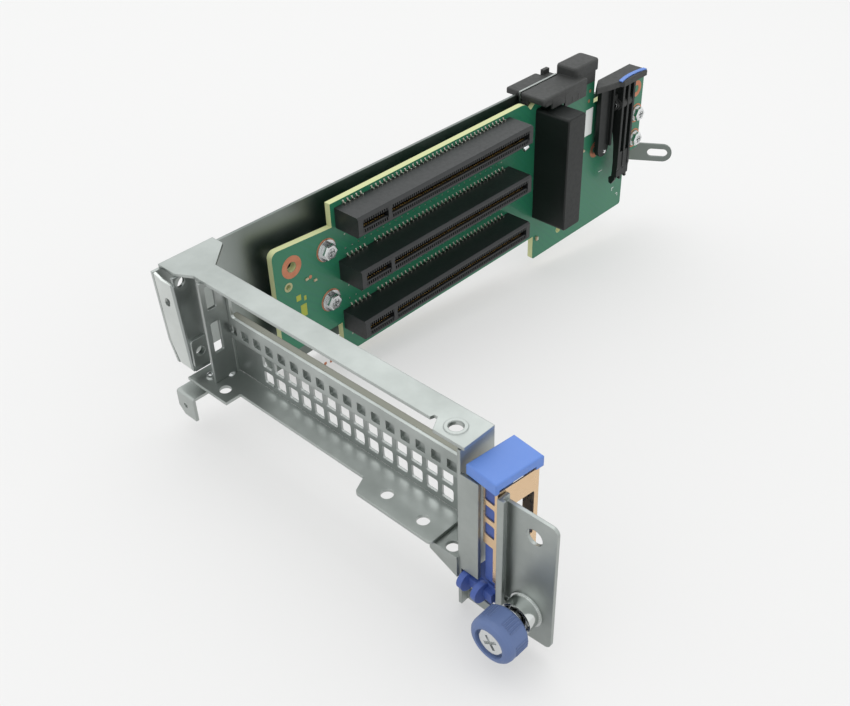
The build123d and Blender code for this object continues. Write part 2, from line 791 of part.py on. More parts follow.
# Card latch: moulded bar with a cap to push, a narrow core, a base that turns on the pin, and toes
with BuildPart() as latch_bar:
    with BuildSketch(latch_plane.offset(latch_top - cap_height)):
        with Locations((latch_width / 2, latch_depth / 2)):
            Rectangle(latch_width, latch_depth)
    extrude(amount=cap_height)
    with BuildSketch(latch_plane.offset(latch_top - cap_height - skirt_height)):
        with Locations((latch_width / 2, skirt_width / 2)):
            Rectangle(latch_width, skirt_width)
        with Locations((latch_width - skirt_width / 2, latch_depth - skirt_width)):
            Rectangle(skirt_width, 2 * skirt_width)
    extrude(amount=skirt_height)
    fillet(latch_bar.faces().sort_by(Axis.Z)[-1].edges(), radius=0.5)
    with BuildSketch(latch_plane.offset(base_low)):
        with Locations((sum(core_x) / 2, core_front + core_set_back + core_depth / 2)):
            Rectangle(core_x[1] - core_x[0], core_depth)
    extrude(amount=latch_top - cap_height - base_low)
    with BuildSketch(latch_plane.offset(base_low)):
        with Locations((latch_width / 2, (core_front + base_back) / 2)):
            Rectangle(latch_width - 2 * spring_sheet, base_back - core_front)
    extrude(amount=base_top - base_low)
    for toe_x in toe_places:
        with BuildSketch(pivot_plane.offset(toe_x)):
            with Locations((toe_y - pivot_y, 0)):
                Circle(barrel_r)
        extrude(amount=toe_width)
    with BuildSketch(pivot_plane.offset(toe_places[0])):
        with Locations((-(pivot_y - core_front) / 2 - 0.8, 0)):
            Rectangle(pivot_y - core_front + 1.6, barrel_r)
    extrude(amount=latch_width - toe_places[0] - 2 * spring_sheet)
    with BuildSketch(latch_plane.offset(base_low + 1.6)):
        with Locations((latch_width / 2, (pivot_y + base_back) / 2 + barrel_r / 2)):
            Rectangle(latch_width - 2.4, base_back - pivot_y - barrel_r - 1.4)
    extrude(amount=base_top, mode=Mode.SUBTRACT)
    with BuildSketch(pivot_plane.offset(-2)):
        Circle(pivot_r + pivot_clear)
    extrude(amount=latch_width + 4, mode=Mode.SUBTRACT)
latch_bar.part.label = "latch_bar"
export_step(latch_bar.part, "parts/latch_bar.step")

# Latch spring: thin copper-alloy sheet wrapped round front, side and back, with windows
spring_high = latch_top - cap_height - skirt_height - 0.3
wrap_front = core_front - spring_sheet
wrap_back = latch_depth - 1.0
wrap_side = core_x[1] + 0.2
with BuildPart() as latch_spring:
    with BuildSketch(latch_plane.offset(base_top + 0.3)):
        with Locations((wrap_side + spring_sheet / 2, (wrap_front + wrap_back) / 2)):
            Rectangle(spring_sheet, wrap_back - wrap_front)
    extrude(amount=spring_high - base_top - 0.3)
    with BuildSketch(latch_plane.offset(spring_low)):
        with Locations(((core_x[0] + wrap_side) / 2, wrap_front + spring_sheet / 2)):
            Rectangle(wrap_side - core_x[0] + spring_sheet, spring_sheet)
    extrude(amount=spring_high - spring_low)
    with BuildSketch(latch_plane.offset(spring_leg_low)):
        with Locations((wrap_side - 0.3, wrap_front + spring_sheet / 2)):
            Rectangle(1.2, spring_sheet)
        with Locations(((core_x[0] + wrap_side) / 2, wrap_back - spring_sheet / 2)):
            Rectangle(wrap_side - core_x[0] + spring_sheet, spring_sheet)
    extrude(amount=spring_high - spring_leg_low)
    front_plane = Plane(
        origin=latch_plane.from_local_coords((0, wrap_front - 0.5, 0)),
        x_dir=latch_plane.x_dir,
        z_dir=-latch_plane.y_dir,
    )
    with BuildSketch(front_plane):
        for i in range(window_count):
            with Locations((sum(core_x) / 2 - 0.1, window_first_z - window_pitch * i)):
                RectangleRounded(core_x[1] - core_x[0] - 0.5, window_height, 0.5)
    extrude(amount=-(spring_sheet + 0.6), mode=Mode.SUBTRACT)
    side_plane = Plane(
        origin=latch_plane.from_local_coords((wrap_side - 0.3, 0, 0)),
        x_dir=latch_plane.y_dir,
        z_dir=latch_plane.x_dir,
    )
    with BuildSketch(side_plane):
        with Locations((sum(side_opening[0]) / 2, sum(side_opening[1]) / 2)):
            RectangleRounded(side_opening[0][1] - side_opening[0][0], side_opening[1][1] - side_opening[1][0], 0.6)
    extrude(amount=spring_sheet + 0.6, mode=Mode.SUBTRACT)
latch_spring.part.label = "latch_spring"
export_step(latch_spring.part, "parts/latch_spring.step")

# Latch pin: steel rod through the barrel, held loosely in the post and the ear's leg
with BuildPart() as latch_pin:
    with BuildSketch(pivot_plane.offset(-3.0)):
        Circle(pivot_r)
    extrude(amount=latch_width + 5.4)
    chamfer(latch_pin.edges().filter_by(GeomType.CIRCLE), length=0.2)
latch_pin.part.label = "latch_pin"
export_step(latch_pin.part, "parts/latch_pin.step")

# Thumbscrew ferrule: flanged sleeve pressed into the ear
thumb_axis = Axis((thumb_x, 0, thumb_z), (0, 1, 0))
thumb_side = Plane(origin=(thumb_x, 0, thumb_z), x_dir=(1, 0, 0), z_dir=(0, 0, 1))
ferrule_mouth_y = ear_face_y - ferrule_length
with BuildPart() as thumb_ferrule:
    with BuildSketch(thumb_side):
        with BuildLine():
            Polyline(
                (shank_r + shank_clear, ear_face_y + sheet),
                (ferrule_r, ear_face_y + sheet),
                (ferrule_r, ear_face_y - fold_clear),
                (ferrule_flange_r, ear_face_y - fold_clear),
                (ferrule_flange_r, ear_face_y - ferrule_flange),
                (ferrule_r, ear_face_y - ferrule_flange),
                (ferrule_r, ferrule_mouth_y),
                (ferrule_r - ferrule_wall, ferrule_mouth_y),
                (ferrule_r - ferrule_wall, ear_face_y + sheet - ferrule_wall),
                (shank_r + shank_clear, ear_face_y + sheet - ferrule_wall),
                close=True,
            )
        make_face()
    revolve(axis=thumb_axis)
thumb_ferrule.part.label = "thumb_ferrule"
export_step(thumb_ferrule.part, "parts/thumb_ferrule.step")

# Thumbscrew: shank with a collar and a broad cross-recess head sunk in the knob
knob_back_y = ferrule_mouth_y - knob_gap
knob_front_y = knob_back_y - knob_length
head_seat_y = knob_front_y + head_height + head_recess
washer_y = knob_back_y - knob_recess
with BuildPart() as thumb_screw:
    with BuildSketch(thumb_side):
        with BuildLine():
            Polyline(
                (0, shank_tip_y),
                (shank_r - 0.5, shank_tip_y),
                (shank_r, shank_tip_y - 0.5),
                (shank_r, washer_y),
                (collar_r, washer_y),
                (collar_r, head_seat_y),
                (head_r, head_seat_y),
                (head_r, head_seat_y - head_height + 0.4),
                (head_r - 0.8, head_seat_y - head_height),
                (0, head_seat_y - head_height),
                close=True,
            )
        make_face()
    revolve(axis=thumb_axis)
    with BuildSketch(steel_sheet_xz(head_seat_y - head_height)):
        with Locations((thumb_x, thumb_z)):
            Rectangle(cross_length, cross_width, rotation=35)
            Rectangle(cross_length, cross_width, rotation=125)
    extrude(amount=-0.9, mode=Mode.SUBTRACT)
thumb_screw.part.label = "thumb_screw"
export_step(thumb_screw.part, "parts/thumb_screw.step")

# Knob: ribbed grip pressed on the screw, with a recess for the head
with BuildPart() as thumb_knob:
    with BuildSketch(steel_sheet_xz(knob_back_y)):
        with Locations((thumb_x, thumb_z)):
            Circle(knob_r)
            Circle(collar_r, mode=Mode.SUBTRACT)
            for angle in knob_rib_angles:
                with PolarLocations(knob_r + knob_rib / 3, knob_rib_groups, start_angle=angle):
                    Circle(knob_rib, mode=Mode.SUBTRACT)
    extrude(amount=knob_length)
    with BuildSketch(thumb_side):
        with BuildLine():
            Polyline(
                (knob_r - 1.0, knob_front_y - 0.1),
                (knob_r + 0.5, knob_front_y - 0.1),
                (knob_r + 0.5, knob_front_y + 1.4),
                close=True,
            )
        make_face()
    revolve(axis=thumb_axis, mode=Mode.SUBTRACT)
    with BuildSketch(thumb_side):
        with BuildLine():
            Polyline(
                (knob_r - 1.0, knob_back_y + 0.1),
                (knob_r + 0.5, knob_back_y + 0.1),
                (knob_r + 0.5, knob_back_y - 1.2),
                close=True,
            )
        make_face()
    revolve(axis=thumb_axis, mode=Mode.SUBTRACT)
    with BuildSketch(steel_sheet_xz(knob_front_y)):
        with Locations((thumb_x, thumb_z)):
            Circle(head_r + 0.25)
    extrude(amount=-(head_height + head_recess), mode=Mode.SUBTRACT)
    with BuildSketch(steel_sheet_xz(washer_y)):
        with Locations((thumb_x, thumb_z)):
            Circle(knob_recess_r)
    extrude(amount=-knob_recess, mode=Mode.SUBTRACT)
thumb_knob.part.label = "thumb_knob"
export_step(thumb_knob.part, "parts/thumb_knob.step")

# Washer on the shank, at the bottom of the knob's recess, where the return spring pushes
with BuildPart() as thumb_washer_part:
    with BuildSketch(steel_sheet_xz(washer_y)):
        with Locations((thumb_x, thumb_z)):
            Circle(thumb_washer_r)
            Circle(shank_r + shank_clear, mode=Mode.SUBTRACT)
    extrude(amount=-thumb_washer)
thumb_washer_part.part.label = "thumb_washer"
export_step(thumb_washer_part.part, "parts/thumb_washer.step")

# Return spring from the washer to the bottom of the ferrule
spring_span = (washer_y + thumb_washer, ear_face_y + sheet - ferrule_wall)
spring_travel = spring_span[1] - spring_span[0] - 2 * thumb_spring_wire
spring_pitch = spring_travel / thumb_spring_turns
with BuildPart() as thumb_spring:
    with BuildLine() as coil_path:
        Helix(
            pitch=spring_pitch - 0.01,
            height=spring_travel - 0.04,
            radius=thumb_spring_r - thumb_spring_wire,
            center=(thumb_x, spring_span[0] + thumb_spring_wire + 0.02, thumb_z),
            direction=(0, 1, 0),
        )
    with BuildSketch(Plane(origin=coil_path.wires()[0] @ 0, z_dir=coil_path.wires()[0] % 0)):
        RegularPolygon(thumb_spring_wire, 6)
    sweep(path=coil_path.wires()[0], is_frenet=True)
thumb_spring.part.label = "thumb_spring"
export_step(thumb_spring.part, "parts/thumb_spring.step")

# Grip: moulded cover clipped over the wall's edge and the board's edge
with BuildPart() as edge_grip:
    with BuildSketch(Plane.XY.offset(grip_seat)):
        with Locations((sum(grip_x) / 2, sum(grip_y) / 2)):
            Rectangle(grip_x[1] - grip_x[0], grip_y[1] - grip_y[0])
        with Locations((sum(grip_wing_x) / 2, sum(grip_wing_y) / 2)):
            Rectangle(grip_wing_x[1] - grip_wing_x[0], grip_wing_y[1] - grip_wing_y[0])
        with Locations(((grip_wing_x[1] + grip_x[0]) / 2, grip_y[1] - 2)):
            Rectangle(grip_x[0] - grip_wing_x[1] + 2, 3.0)
    extrude(amount=grip_top - grip_seat)
    with BuildSketch(Plane.XY.offset(grip_seat)):
        with Locations((grip_x[1] - grip_nose / 2, grip_y[1] - grip_side_length / 2)):
            Rectangle(grip_nose, grip_side_length)
    extrude(amount=-grip_skirt)
    with BuildSketch(Plane.XY.offset(grip_seat)):
        with Locations(((grip_x[1] + board_gap) / 2, grip_y[0] + grip_nose / 2)):
            Rectangle(grip_x[1] - board_gap, grip_nose)
        with Locations(((grip_x[0] - board_thickness - board_gap) / 2, grip_y[0] + grip_nose / 2)):
            Rectangle(-board_thickness - board_gap - grip_x[0], grip_nose)
    extrude(amount=-grip_nose_drop)
    with BuildSketch(Plane.XY.offset(grip_seat)):
        with Locations((sum(grip_block_x) / 2, sum(grip_block_y) / 2)):
            Rectangle(grip_block_x[1] - grip_block_x[0], grip_block_y[1] - grip_block_y[0])
        with Locations((-1.0, grip_block_y[0] - 1)):
            Rectangle(6.0, 4.0)
    extrude(amount=grip_block_height)
    fillet(edge_grip.faces().sort_by(Axis.Z)[-1].edges(), radius=1.0)
    with BuildSketch(Plane.XY.offset(grip_top)):
        with Locations((grip_wing_x[0] + 2.0, grip_wing_y[1] - 2.0)):
            Circle(grip_peg)
    extrude(amount=1.6)
edge_grip.part.label = "edge_grip"
export_step(edge_grip.part, "parts/edge_grip.step")

# End latch base: two ears on the board that carry the pivot
ear_places = (end_body_y[0] - end_ear_gap - end_ear, end_body_y[1] + end_ear_gap)
with BuildPart() as end_latch_base:
    for y in ear_places:
        with BuildSketch(steel_sheet_xz(y)):
            with BuildLine():
                Polyline(
                    (0, end_pivot_z - 6),
                    (end_pivot_x, end_pivot_z - 2.4),
                    (end_pivot_x + 2.2, end_pivot_z),
                    (end_pivot_x, end_pivot_z + 2.4),
                    (0, end_pivot_z + 1.4),
                    close=True,
                )
            make_face()
            with Locations((end_pivot_x, end_pivot_z)):
                Circle(end_pivot_r, mode=Mode.SUBTRACT)
        extrude(amount=-end_ear)
    with BuildSketch(steel_sheet_yz(0)):
        with Locations((sum(end_body_y) / 2, end_pivot_z - 5.0)):
            Rectangle(ear_places[1] - ear_places[0], end_ear)
    extrude(amount=end_ear / 2)
end_latch_base.part.label = "end_latch_base"
export_step(end_latch_base.part, "parts/end_latch_base.step")

with BuildPart() as end_latch_pin:
    with BuildSketch(steel_sheet_xz(ear_places[0] - end_ear_gap)):
        with Locations((end_pivot_x, end_pivot_z)):
            Circle(end_pivot_r)
    extrude(amount=-(ear_places[1] - ear_places[0] + end_ear + 2 * end_ear_gap))
end_latch_pin.part.label = "end_latch_pin"
export_step(end_latch_pin.part, "parts/end_latch_pin.step")

# End latch: slanted thumb plate, ribbed body with hooks, and one rounded arm
rib_step = (end_body_y[1] - end_body_y[0] - end_rib) / (end_rib_count - 1)
with BuildPart() as end_latch:
    with BuildSketch(Plane.XY.offset(end_top - end_plate)):
        with BuildLine():
            Polyline(
                (end_back, end_plate_y[1]),
                (end_reach, end_plate_y[0]),
                (end_reach, end_plate_y[2]),
                (end_back, end_plate_y[2]),
                close=True,
            )
        make_face()
    extrude(amount=end_plate)
    fillet(end_latch.edges().filter_by(Axis.Z), radius=0.8)
    for index in range(end_rib_count):
        rib_top = end_top - end_plate / 2 if index < end_rib_count - 1 else end_top - 3 * end_plate
        with BuildSketch(steel_sheet_xz(end_body_y[0] + rib_step * index)):
            with BuildLine():
                Polyline(
                    (end_back, rib_top),
                    (end_rib_reach, rib_top),
                    (end_rib_reach, end_pivot_z - 6),
                    (end_low_reach, end_low + 3),
                    (end_low_reach - 1.2, end_low),
                    (end_back, end_low),
                    close=True,
                )
            make_face()
        extrude(amount=-end_rib)
    with BuildSketch(steel_sheet_yz(end_back)):
        with BuildLine():
            Polyline(
                (end_body_y[0], end_low + 4),
                (end_body_y[0], end_top - end_plate / 2),
                (end_plate_y[2], end_top - end_plate / 2),
                (end_body_y[1], end_top - 3 * end_plate),
                (end_body_y[1], end_low + 4),
                close=True,
            )
        make_face()
        with BuildLine():
            Polyline(
                (end_arm_y[0], end_top - end_plate / 2),
                (end_body_y[0] + end_rib, end_top - end_plate / 2),
                (end_body_y[0] + end_rib, end_pivot_z + end_arm_gap),
                (end_arm_y[1], end_pivot_z + end_arm_gap),
                (end_arm_y[1], end_arm_low + end_arm_reach),
                (end_arm_y[0], end_arm_low + end_arm_reach),
                close=True,
            )
        make_face()
        with Locations((sum(end_arm_y) / 2, end_arm_low + end_arm_reach)):
            Circle((end_arm_y[1] - end_arm_y[0]) / 2)
    extrude(amount=end_back_plate)
    with BuildSketch(steel_sheet_xz(end_arm_y[1] - end_rib)):
        with BuildLine():
            Polyline(
                (end_back, end_top - end_plate / 2),
                (end_arm_reach + 3, end_top - end_plate / 2),
                (end_arm_reach + 1, end_arm_low + 3),
                (end_arm_reach, end_arm_low + 1),
                (end_back, end_arm_low + 1),
                close=True,
            )
        make_face()
    extrude(amount=-end_rib)
    with BuildSketch(steel_sheet_xz(end_body_y[0])):
        with Locations((end_pivot_x, end_pivot_z)):
            Circle(end_pivot_r + 1.4)
    extrude(amount=-(end_body_y[1] - end_body_y[0]))
    with BuildSketch(steel_sheet_xz(end_body_y[0] - end_rib)):
        with Locations((end_pivot_x, end_pivot_z)):
            Circle(end_pivot_r + pivot_clear)
    extrude(amount=-(end_body_y[1] - end_body_y[0] + 2 * end_rib), mode=Mode.SUBTRACT)
end_latch.part.label = "end_latch"
export_step(end_latch.part, "parts/end_latch.step")

# Coloured strip along the thumb plate's edge
stripe_out = end_reach - 0.3
stripe_mid = sum(stripe_y) / 2
with BuildPart() as end_stripe_part:
    with BuildSketch(Plane.XY.offset(end_top)):
        with BuildLine():
            ThreePointArc((stripe_out, stripe_y[0]), (stripe_out - stripe_bow, stripe_mid), (stripe_out, stripe_y[1]))
            Line((stripe_out, stripe_y[1]), (stripe_out - stripe_width, stripe_y[1]))
            ThreePointArc(
                (stripe_out - stripe_width, stripe_y[1]),
                (stripe_out - stripe_bow - stripe_width, stripe_mid),
                (stripe_out - stripe_width, stripe_y[0]),
            )
            Line((stripe_out - stripe_width, stripe_y[0]), (stripe_out, stripe_y[0]))
        make_face()
    extrude(amount=0.4)
end_stripe_part.part.label = "end_stripe"
export_step(end_stripe_part.part, "parts/end_stripe.step")
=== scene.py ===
import bpy
import math
from mathutils import Matrix, Vector


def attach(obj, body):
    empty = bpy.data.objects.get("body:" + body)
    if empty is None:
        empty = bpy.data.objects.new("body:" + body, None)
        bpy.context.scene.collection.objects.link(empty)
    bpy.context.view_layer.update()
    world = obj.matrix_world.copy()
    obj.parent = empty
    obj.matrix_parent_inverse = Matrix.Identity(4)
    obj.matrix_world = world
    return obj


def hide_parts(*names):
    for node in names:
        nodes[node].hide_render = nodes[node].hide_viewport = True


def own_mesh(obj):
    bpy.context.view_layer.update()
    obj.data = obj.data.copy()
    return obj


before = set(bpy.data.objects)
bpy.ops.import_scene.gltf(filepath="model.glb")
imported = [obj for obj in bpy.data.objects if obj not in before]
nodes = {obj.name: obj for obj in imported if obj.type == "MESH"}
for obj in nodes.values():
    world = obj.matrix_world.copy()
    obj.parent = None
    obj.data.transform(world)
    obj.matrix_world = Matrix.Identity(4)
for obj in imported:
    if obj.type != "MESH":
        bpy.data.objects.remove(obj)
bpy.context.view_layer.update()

# Pieces are measured in millimetres until new_object; materials, lights and camera in metres
MM = 0.001


# Colour and shader helpers

def srgb(code):
    """Linear colour from a hex code."""
    out = []
    for i in (1, 3, 5):
        c = int(code[i:i + 2], 16) / 255
        out.append(c / 12.92 if c <= 0.04045 else ((c + 0.055) / 1.055) ** 2.4)
    return (out[0], out[1], out[2], 1.0)


def add(tree, kind, values=(), **settings):
    """One shader or geometry node with its settings and constant inputs."""
    node = tree.nodes.new(kind)
    for key, value in settings.items():
        setattr(node, key, value)
    for key, value in values:
        node.inputs[key].default_value = value
    return node


def start_material(name):
    """A new material with its tree, its shader and the object's own coordinates."""
    mat = bpy.data.materials.new(name)
    mat.use_nodes = True
    tree = mat.node_tree
    shader = tree.nodes["Principled BSDF"]
    coords = add(tree, "ShaderNodeTexCoord").outputs["Object"]
    return mat, tree, shader, coords


def mix_colour(tree, factor, a, b):
    """Mix of two colours, each a hex code or a socket."""
    node = add(tree, "ShaderNodeMix", data_type="RGBA")
    tree.links.new(factor, node.inputs[0])
    for socket, value in ((node.inputs[6], a), (node.inputs[7], b)):
        if isinstance(value, str):
            socket.default_value = srgb(value)
        else:
            tree.links.new(value, socket)
    return node.outputs[2]


def noise(tree, coords, scale, detail, rough, stretch=None):
    """Cloudy noise, stretched along the axes where asked."""
    if stretch:
        mapping = add(tree, "ShaderNodeMapping", [("Scale", stretch)])
        tree.links.new(coords, mapping.inputs["Vector"])
        coords = mapping.outputs["Vector"]
    values = [("Scale", scale), ("Detail", detail), ("Roughness", rough)]
    node = add(tree, "ShaderNodeTexNoise", values)
    tree.links.new(coords, node.inputs["Vector"])
    return node.outputs["Fac"]


def ramp(tree, factor, low, high, a=0.0, b=1.0):
    """The factor's span from low to high, carried to the span from a to b."""
    values = [("From Min", low), ("From Max", high), ("To Min", a), ("To Max", b)]
    node = add(tree, "ShaderNodeMapRange", values)
    tree.links.new(factor, node.inputs["Value"])
    return node.outputs["Result"]


def finish_normal(tree, shader, height, distance, strength, round_edge=0.0):
    """Fine bump over softly rounded edges."""
    bump = add(tree, "ShaderNodeBump", [("Distance", distance), ("Strength", strength)])
    tree.links.new(height, bump.inputs["Height"])
    if round_edge:
        bevel = add(tree, "ShaderNodeBevel", [("Radius", round_edge)], samples=4)
        tree.links.new(bevel.outputs["Normal"], bump.inputs["Normal"])
    tree.links.new(bump.outputs["Normal"], shader.inputs["Normal"])


# Materials

# Distance in metres over which a sharp change of tone runs
SHARP = 0.0003


def past(tree, coords, axis, start, fade, tone, beyond):
    """The tone changes to another one past a place along one of the object's axes."""
    place = add(tree, "ShaderNodeSeparateXYZ")
    tree.links.new(coords, place.inputs["Vector"])
    return mix_colour(tree, ramp(tree, place.outputs[axis], start, start + fade), tone, beyond)


def sheet_steel(name, tones, rough, second_tone=None, axis="Z", fade=SHARP):
    """Zinc-coated sheet steel, rolled, with faint spangle and handling marks.

    Given a second tone, it changes to that tone beyond a place on the axis: painted reflection and
    painted shade on the wall, painted light and painted shade on the bracket's flange, and a
    darker olive lip on the filler."""
    mat, tree, shader, coords = start_material(name)
    cloud = noise(tree, coords, scale=60, detail=4, rough=0.6)
    grain = noise(tree, coords, scale=900, detail=2, rough=0.5, stretch=(1, 0.05, 1))
    tone = mix_colour(tree, ramp(tree, cloud, 0.3, 0.7), *tones)
    if second_tone:
        tone = past(tree, coords, axis, second_tone[0], fade, tone, second_tone[1])
    tree.links.new(tone, shader.inputs["Base Color"])
    shader.inputs["Metallic"].default_value = 1.0
    tree.links.new(ramp(tree, cloud, 0.3, 0.75, *rough), shader.inputs["Roughness"])
    finish_normal(tree, shader, grain, distance=0.00002, strength=0.25, round_edge=0.00035)
    return mat


def moulded(name, base, worn, rough, gloss=0.5, round_edge=0.0003, cap=None):
    """Moulded plastic with a fine eroded texture, and another tone above a cap's height."""
    mat, tree, shader, coords = start_material(name)
    cloud = noise(tree, coords, scale=45, detail=3, rough=0.6)
    grain = noise(tree, coords, scale=700, detail=2, rough=0.6)
    tone = mix_colour(tree, ramp(tree, cloud, 0.35, 0.7), base, worn)
    if cap:
        tone = past(tree, coords, "Z", cap[0], SHARP, tone, cap[1])
    tree.links.new(tone, shader.inputs["Base Color"])
    uneven = ramp(tree, grain, 0.3, 0.7, rough - 0.06, rough + 0.06)
    tree.links.new(uneven, shader.inputs["Roughness"])
    shader.inputs["Specular IOR Level"].default_value = gloss
    finish_normal(tree, shader, grain, distance=0.00003, strength=0.3, round_edge=round_edge)
    return mat


def plated(name, colour, rough):
    """Bright plated small metal parts."""
    mat, tree, shader, coords = start_material(name)
    cloud = noise(tree, coords, scale=300, detail=3, rough=0.6)
    shader.inputs["Base Color"].default_value = srgb(colour)
    shader.inputs["Metallic"].default_value = 1.0
    uneven = ramp(tree, cloud, 0.3, 0.7, rough * 0.7, rough * 1.4)
    tree.links.new(uneven, shader.inputs["Roughness"])
    finish_normal(tree, shader, cloud, distance=0.00002, strength=0.15, round_edge=0.00015)
    return mat


def solder_mask(name):
    """Green solder mask over copper tracks, with the pale glass-fibre edge left bare."""
    mat, tree, shader, coords = start_material(name)
    # Fine slanting tracks, in some of the cells only
    values = [("Scale", 70.0), ("Randomness", 0.9)]
    cells = add(tree, "ShaderNodeTexVoronoi", values, distance="CHEBYCHEV")
    values = [("Scale", 190.0), ("Distortion", 3.0), ("Detail", 0.0), ("Detail Scale", 0.4)]
    waves = add(tree, "ShaderNodeTexWave", values, wave_type="BANDS", bands_direction="DIAGONAL")
    for texture in (cells, waves):
        tree.links.new(coords, texture.inputs["Vector"])
    tracks = ramp(tree, waves.outputs["Fac"], 0.5, 0.9)
    areas = ramp(tree, cells.outputs["Distance"], 0.28, 0.3)
    layer = add(tree, "ShaderNodeMath", operation="MULTIPLY")
    tree.links.new(tracks, layer.inputs[0])
    tree.links.new(areas, layer.inputs[1])
    cloud = noise(tree, coords, scale=30, detail=2, rough=0.5)
    plain = mix_colour(tree, cloud, "#1d6447", "#287657")
    faced = mix_colour(tree, layer.outputs[0], plain, "#236b51")
    # The mask covers the two faces, which look along X, and not the sawn edges
    side = add(tree, "ShaderNodeNewGeometry")
    parts = add(tree, "ShaderNodeSeparateXYZ")
    tree.links.new(side.outputs["True Normal"], parts.inputs["Vector"])
    flat = add(tree, "ShaderNodeMath", operation="ABSOLUTE")
    tree.links.new(parts.outputs["X"], flat.inputs[0])
    face = ramp(tree, flat.outputs[0], 0.5, 0.6)
    tree.links.new(mix_colour(tree, face, "#c3c795", faced), shader.inputs["Base Color"])
    tree.links.new(ramp(tree, face, 0, 1, 0.75, 0.34), shader.inputs["Roughness"])
    finish_normal(tree, shader, layer.outputs[0], distance=0.00003, strength=0.4)
    return mat


steel = sheet_steel("galvanised sheet steel", ("#b5bab7", "#a4a9a6"), (0.32, 0.46))
# Painted reflection lightens the wall near the arm's corner, and painted shade darkens it further
# along Y
steel_wall = sheet_steel(
    "galvanised sheet steel, wall", ("#b9bebb", "#adb2af"), (0.34, 0.48),
    second_tone=(-0.062, "#7b827e"), axis="Y", fade=0.028,
)
# A darker olive tone on the lip above 31.6 mm
filler_steel = sheet_steel(
    "galvanised sheet steel, olive-toned lip", ("#a9adab", "#989c9a"), (0.26, 0.4),
    second_tone=(0.0316, "#7c7d74"),
)
# Painted light on the flange, which faces along X, and painted shade on the rest of the bracket
# past X = -1.3 mm
flange_steel = sheet_steel(
    "galvanised sheet steel, rubbed flange", ("#d2d6d3", "#c4c8c5"), (0.26, 0.4),
    second_tone=(-0.0013, "#9a9f9d"), axis="X",
)
# A darker tone than the arm's, as painted shade on the end, and a rougher finish
end_steel = sheet_steel(
    "galvanised sheet steel, rougher end in painted shade", ("#adb2af", "#9ca19e"), (0.36, 0.5),
)
steel_dull = sheet_steel(
    "galvanised sheet steel, handled", ("#a9adab", "#989c9a"), (0.26, 0.4),
)
polished = plated("polished nickel plating", "#cdd0ce", 0.1)
bright = plated("bright zinc-plated steel", "#d6d8d8", 0.2)
tinned = plated("tinned contacts", "#cfccc2", 0.28)
gold = plated("gilded contacts", "#c9a45c", 0.28)
copper = plated("copper-alloy spring sheet", "#e0c19c", 0.3)
board = solder_mask("green solder mask on glass fibre")
bare_copper = plated("bare copper land", "#c08468", 0.5)
bare_laminate = moulded("bare glass-fibre laminate", "#a9a77c", "#9c9a70", 0.6)
label_white = moulded("white printed stock", "#e6e8e6", "#dcdedb", 0.6)
mark_yellow = moulded("yellow-green cured ink", "#8f9a34", "#a3a83c", 0.5)
slot_black = moulded("black glass-filled nylon", "#1a1c1d", "#202223", 0.42, round_edge=0.0)
cover_black = moulded("black polycarbonate moulding", "#282928", "#303130", 0.55)
tall_black = moulded("black liquid-crystal polymer", "#131615", "#191c1b", 0.42, gloss=0.3)
blue = moulded("touch-point blue moulding", "#5a7ec6", "#6186cd", 0.5)
latch_blue = moulded(
    "touch-point blue moulding, shaded core", "#3c5499", "#435ba1", 0.5, cap=(0.0404, "#5e82ca"),
)
blue_knob = moulded("touch-point blue knob", "#52658f", "#5a6d98", 0.48)
ceramic = moulded("ceramic chip body", "#b9a98a", "#a5977a", 0.5)

paint = {
    "side_wall": steel_wall, "arm": steel, "slot_filler": filler_steel,
    "rear_bracket": flange_steel, "corner_tab": steel, "tongue_plate": steel_dull,
    "foot_clip": steel, "end_bracket": end_steel, "circuit_board": board,
    "slot_1": slot_black, "slot_2": slot_black, "slot_3": slot_black, "slot_leads": tinned,
    "tall_connector": tall_black, "board_washers": bright, "board_screws": bright,
    "board_spacers": bright, "board_chips": ceramic, "latch_bar": latch_blue,
    "latch_spring": copper, "latch_pin": bright, "thumb_ferrule": polished,
    "thumb_screw": bright, "thumb_knob": blue_knob, "thumb_washer": bright,
    "thumb_spring": bright, "edge_grip": cover_black, "end_latch_base": cover_black,
    "end_latch_pin": bright, "end_latch": cover_black, "end_stripe": blue,
}
for name, mat in paint.items():
    mesh = nodes[name].data
    mesh.materials.clear()
    mesh.materials.append(mat)


# Piece helpers

# Straight steps in a rounded corner
CORNER_STEPS = 4


def new_object(name, verts, faces, mat):
    """An object at the origin, from points in millimetres."""
    mesh = bpy.data.meshes.new(name)
    mesh.from_pydata([tuple(c * MM for c in v) for v in verts], [], faces)
    mesh.materials.append(mat)
    mesh.validate()
    made = bpy.data.objects.new(name, mesh)
    bpy.context.scene.collection.objects.link(made)
    return made


def box_points(low, high):
    """The eight corners of a box, in the order that BOX_FACES counts on."""
    xs, ys, zs = zip(low, high)
    return [(x, y, z) for x in xs for y in ys for z in zs]


BOX_FACES = ((0, 1, 3, 2), (4, 6, 7, 5), (0, 4, 5, 1), (2, 3, 7, 6), (0, 2, 6, 4), (1, 5, 7, 3))


def boxes(name, spans, mat):
    """One mesh of plain boxes, each from a low corner to a high corner."""
    verts, faces = [], []
    for low, high in spans:
        start = len(verts)
        verts += box_points(low, high)
        faces += [tuple(start + i for i in face) for face in BOX_FACES]
    return new_object(name, verts, faces, mat)


def prism(name, outline, sections, mat):
    """A closed outline of (X, Z) points carried along Y, once for each (start, end) section."""
    verts, faces = [], []
    count = len(outline)
    for start_y, end_y in sections:
        base = len(verts)
        verts += [(x, start_y, z) for x, z in outline] + [(x, end_y, z) for x, z in outline]
        faces.append(tuple(base + i for i in range(count)))
        faces.append(tuple(base + count + i for i in reversed(range(count))))
        for i in range(count):
            j = (i + 1) % count
            faces.append((base + j, base + i, base + count + i, base + count + j))
    return new_object(name, verts, faces, mat)


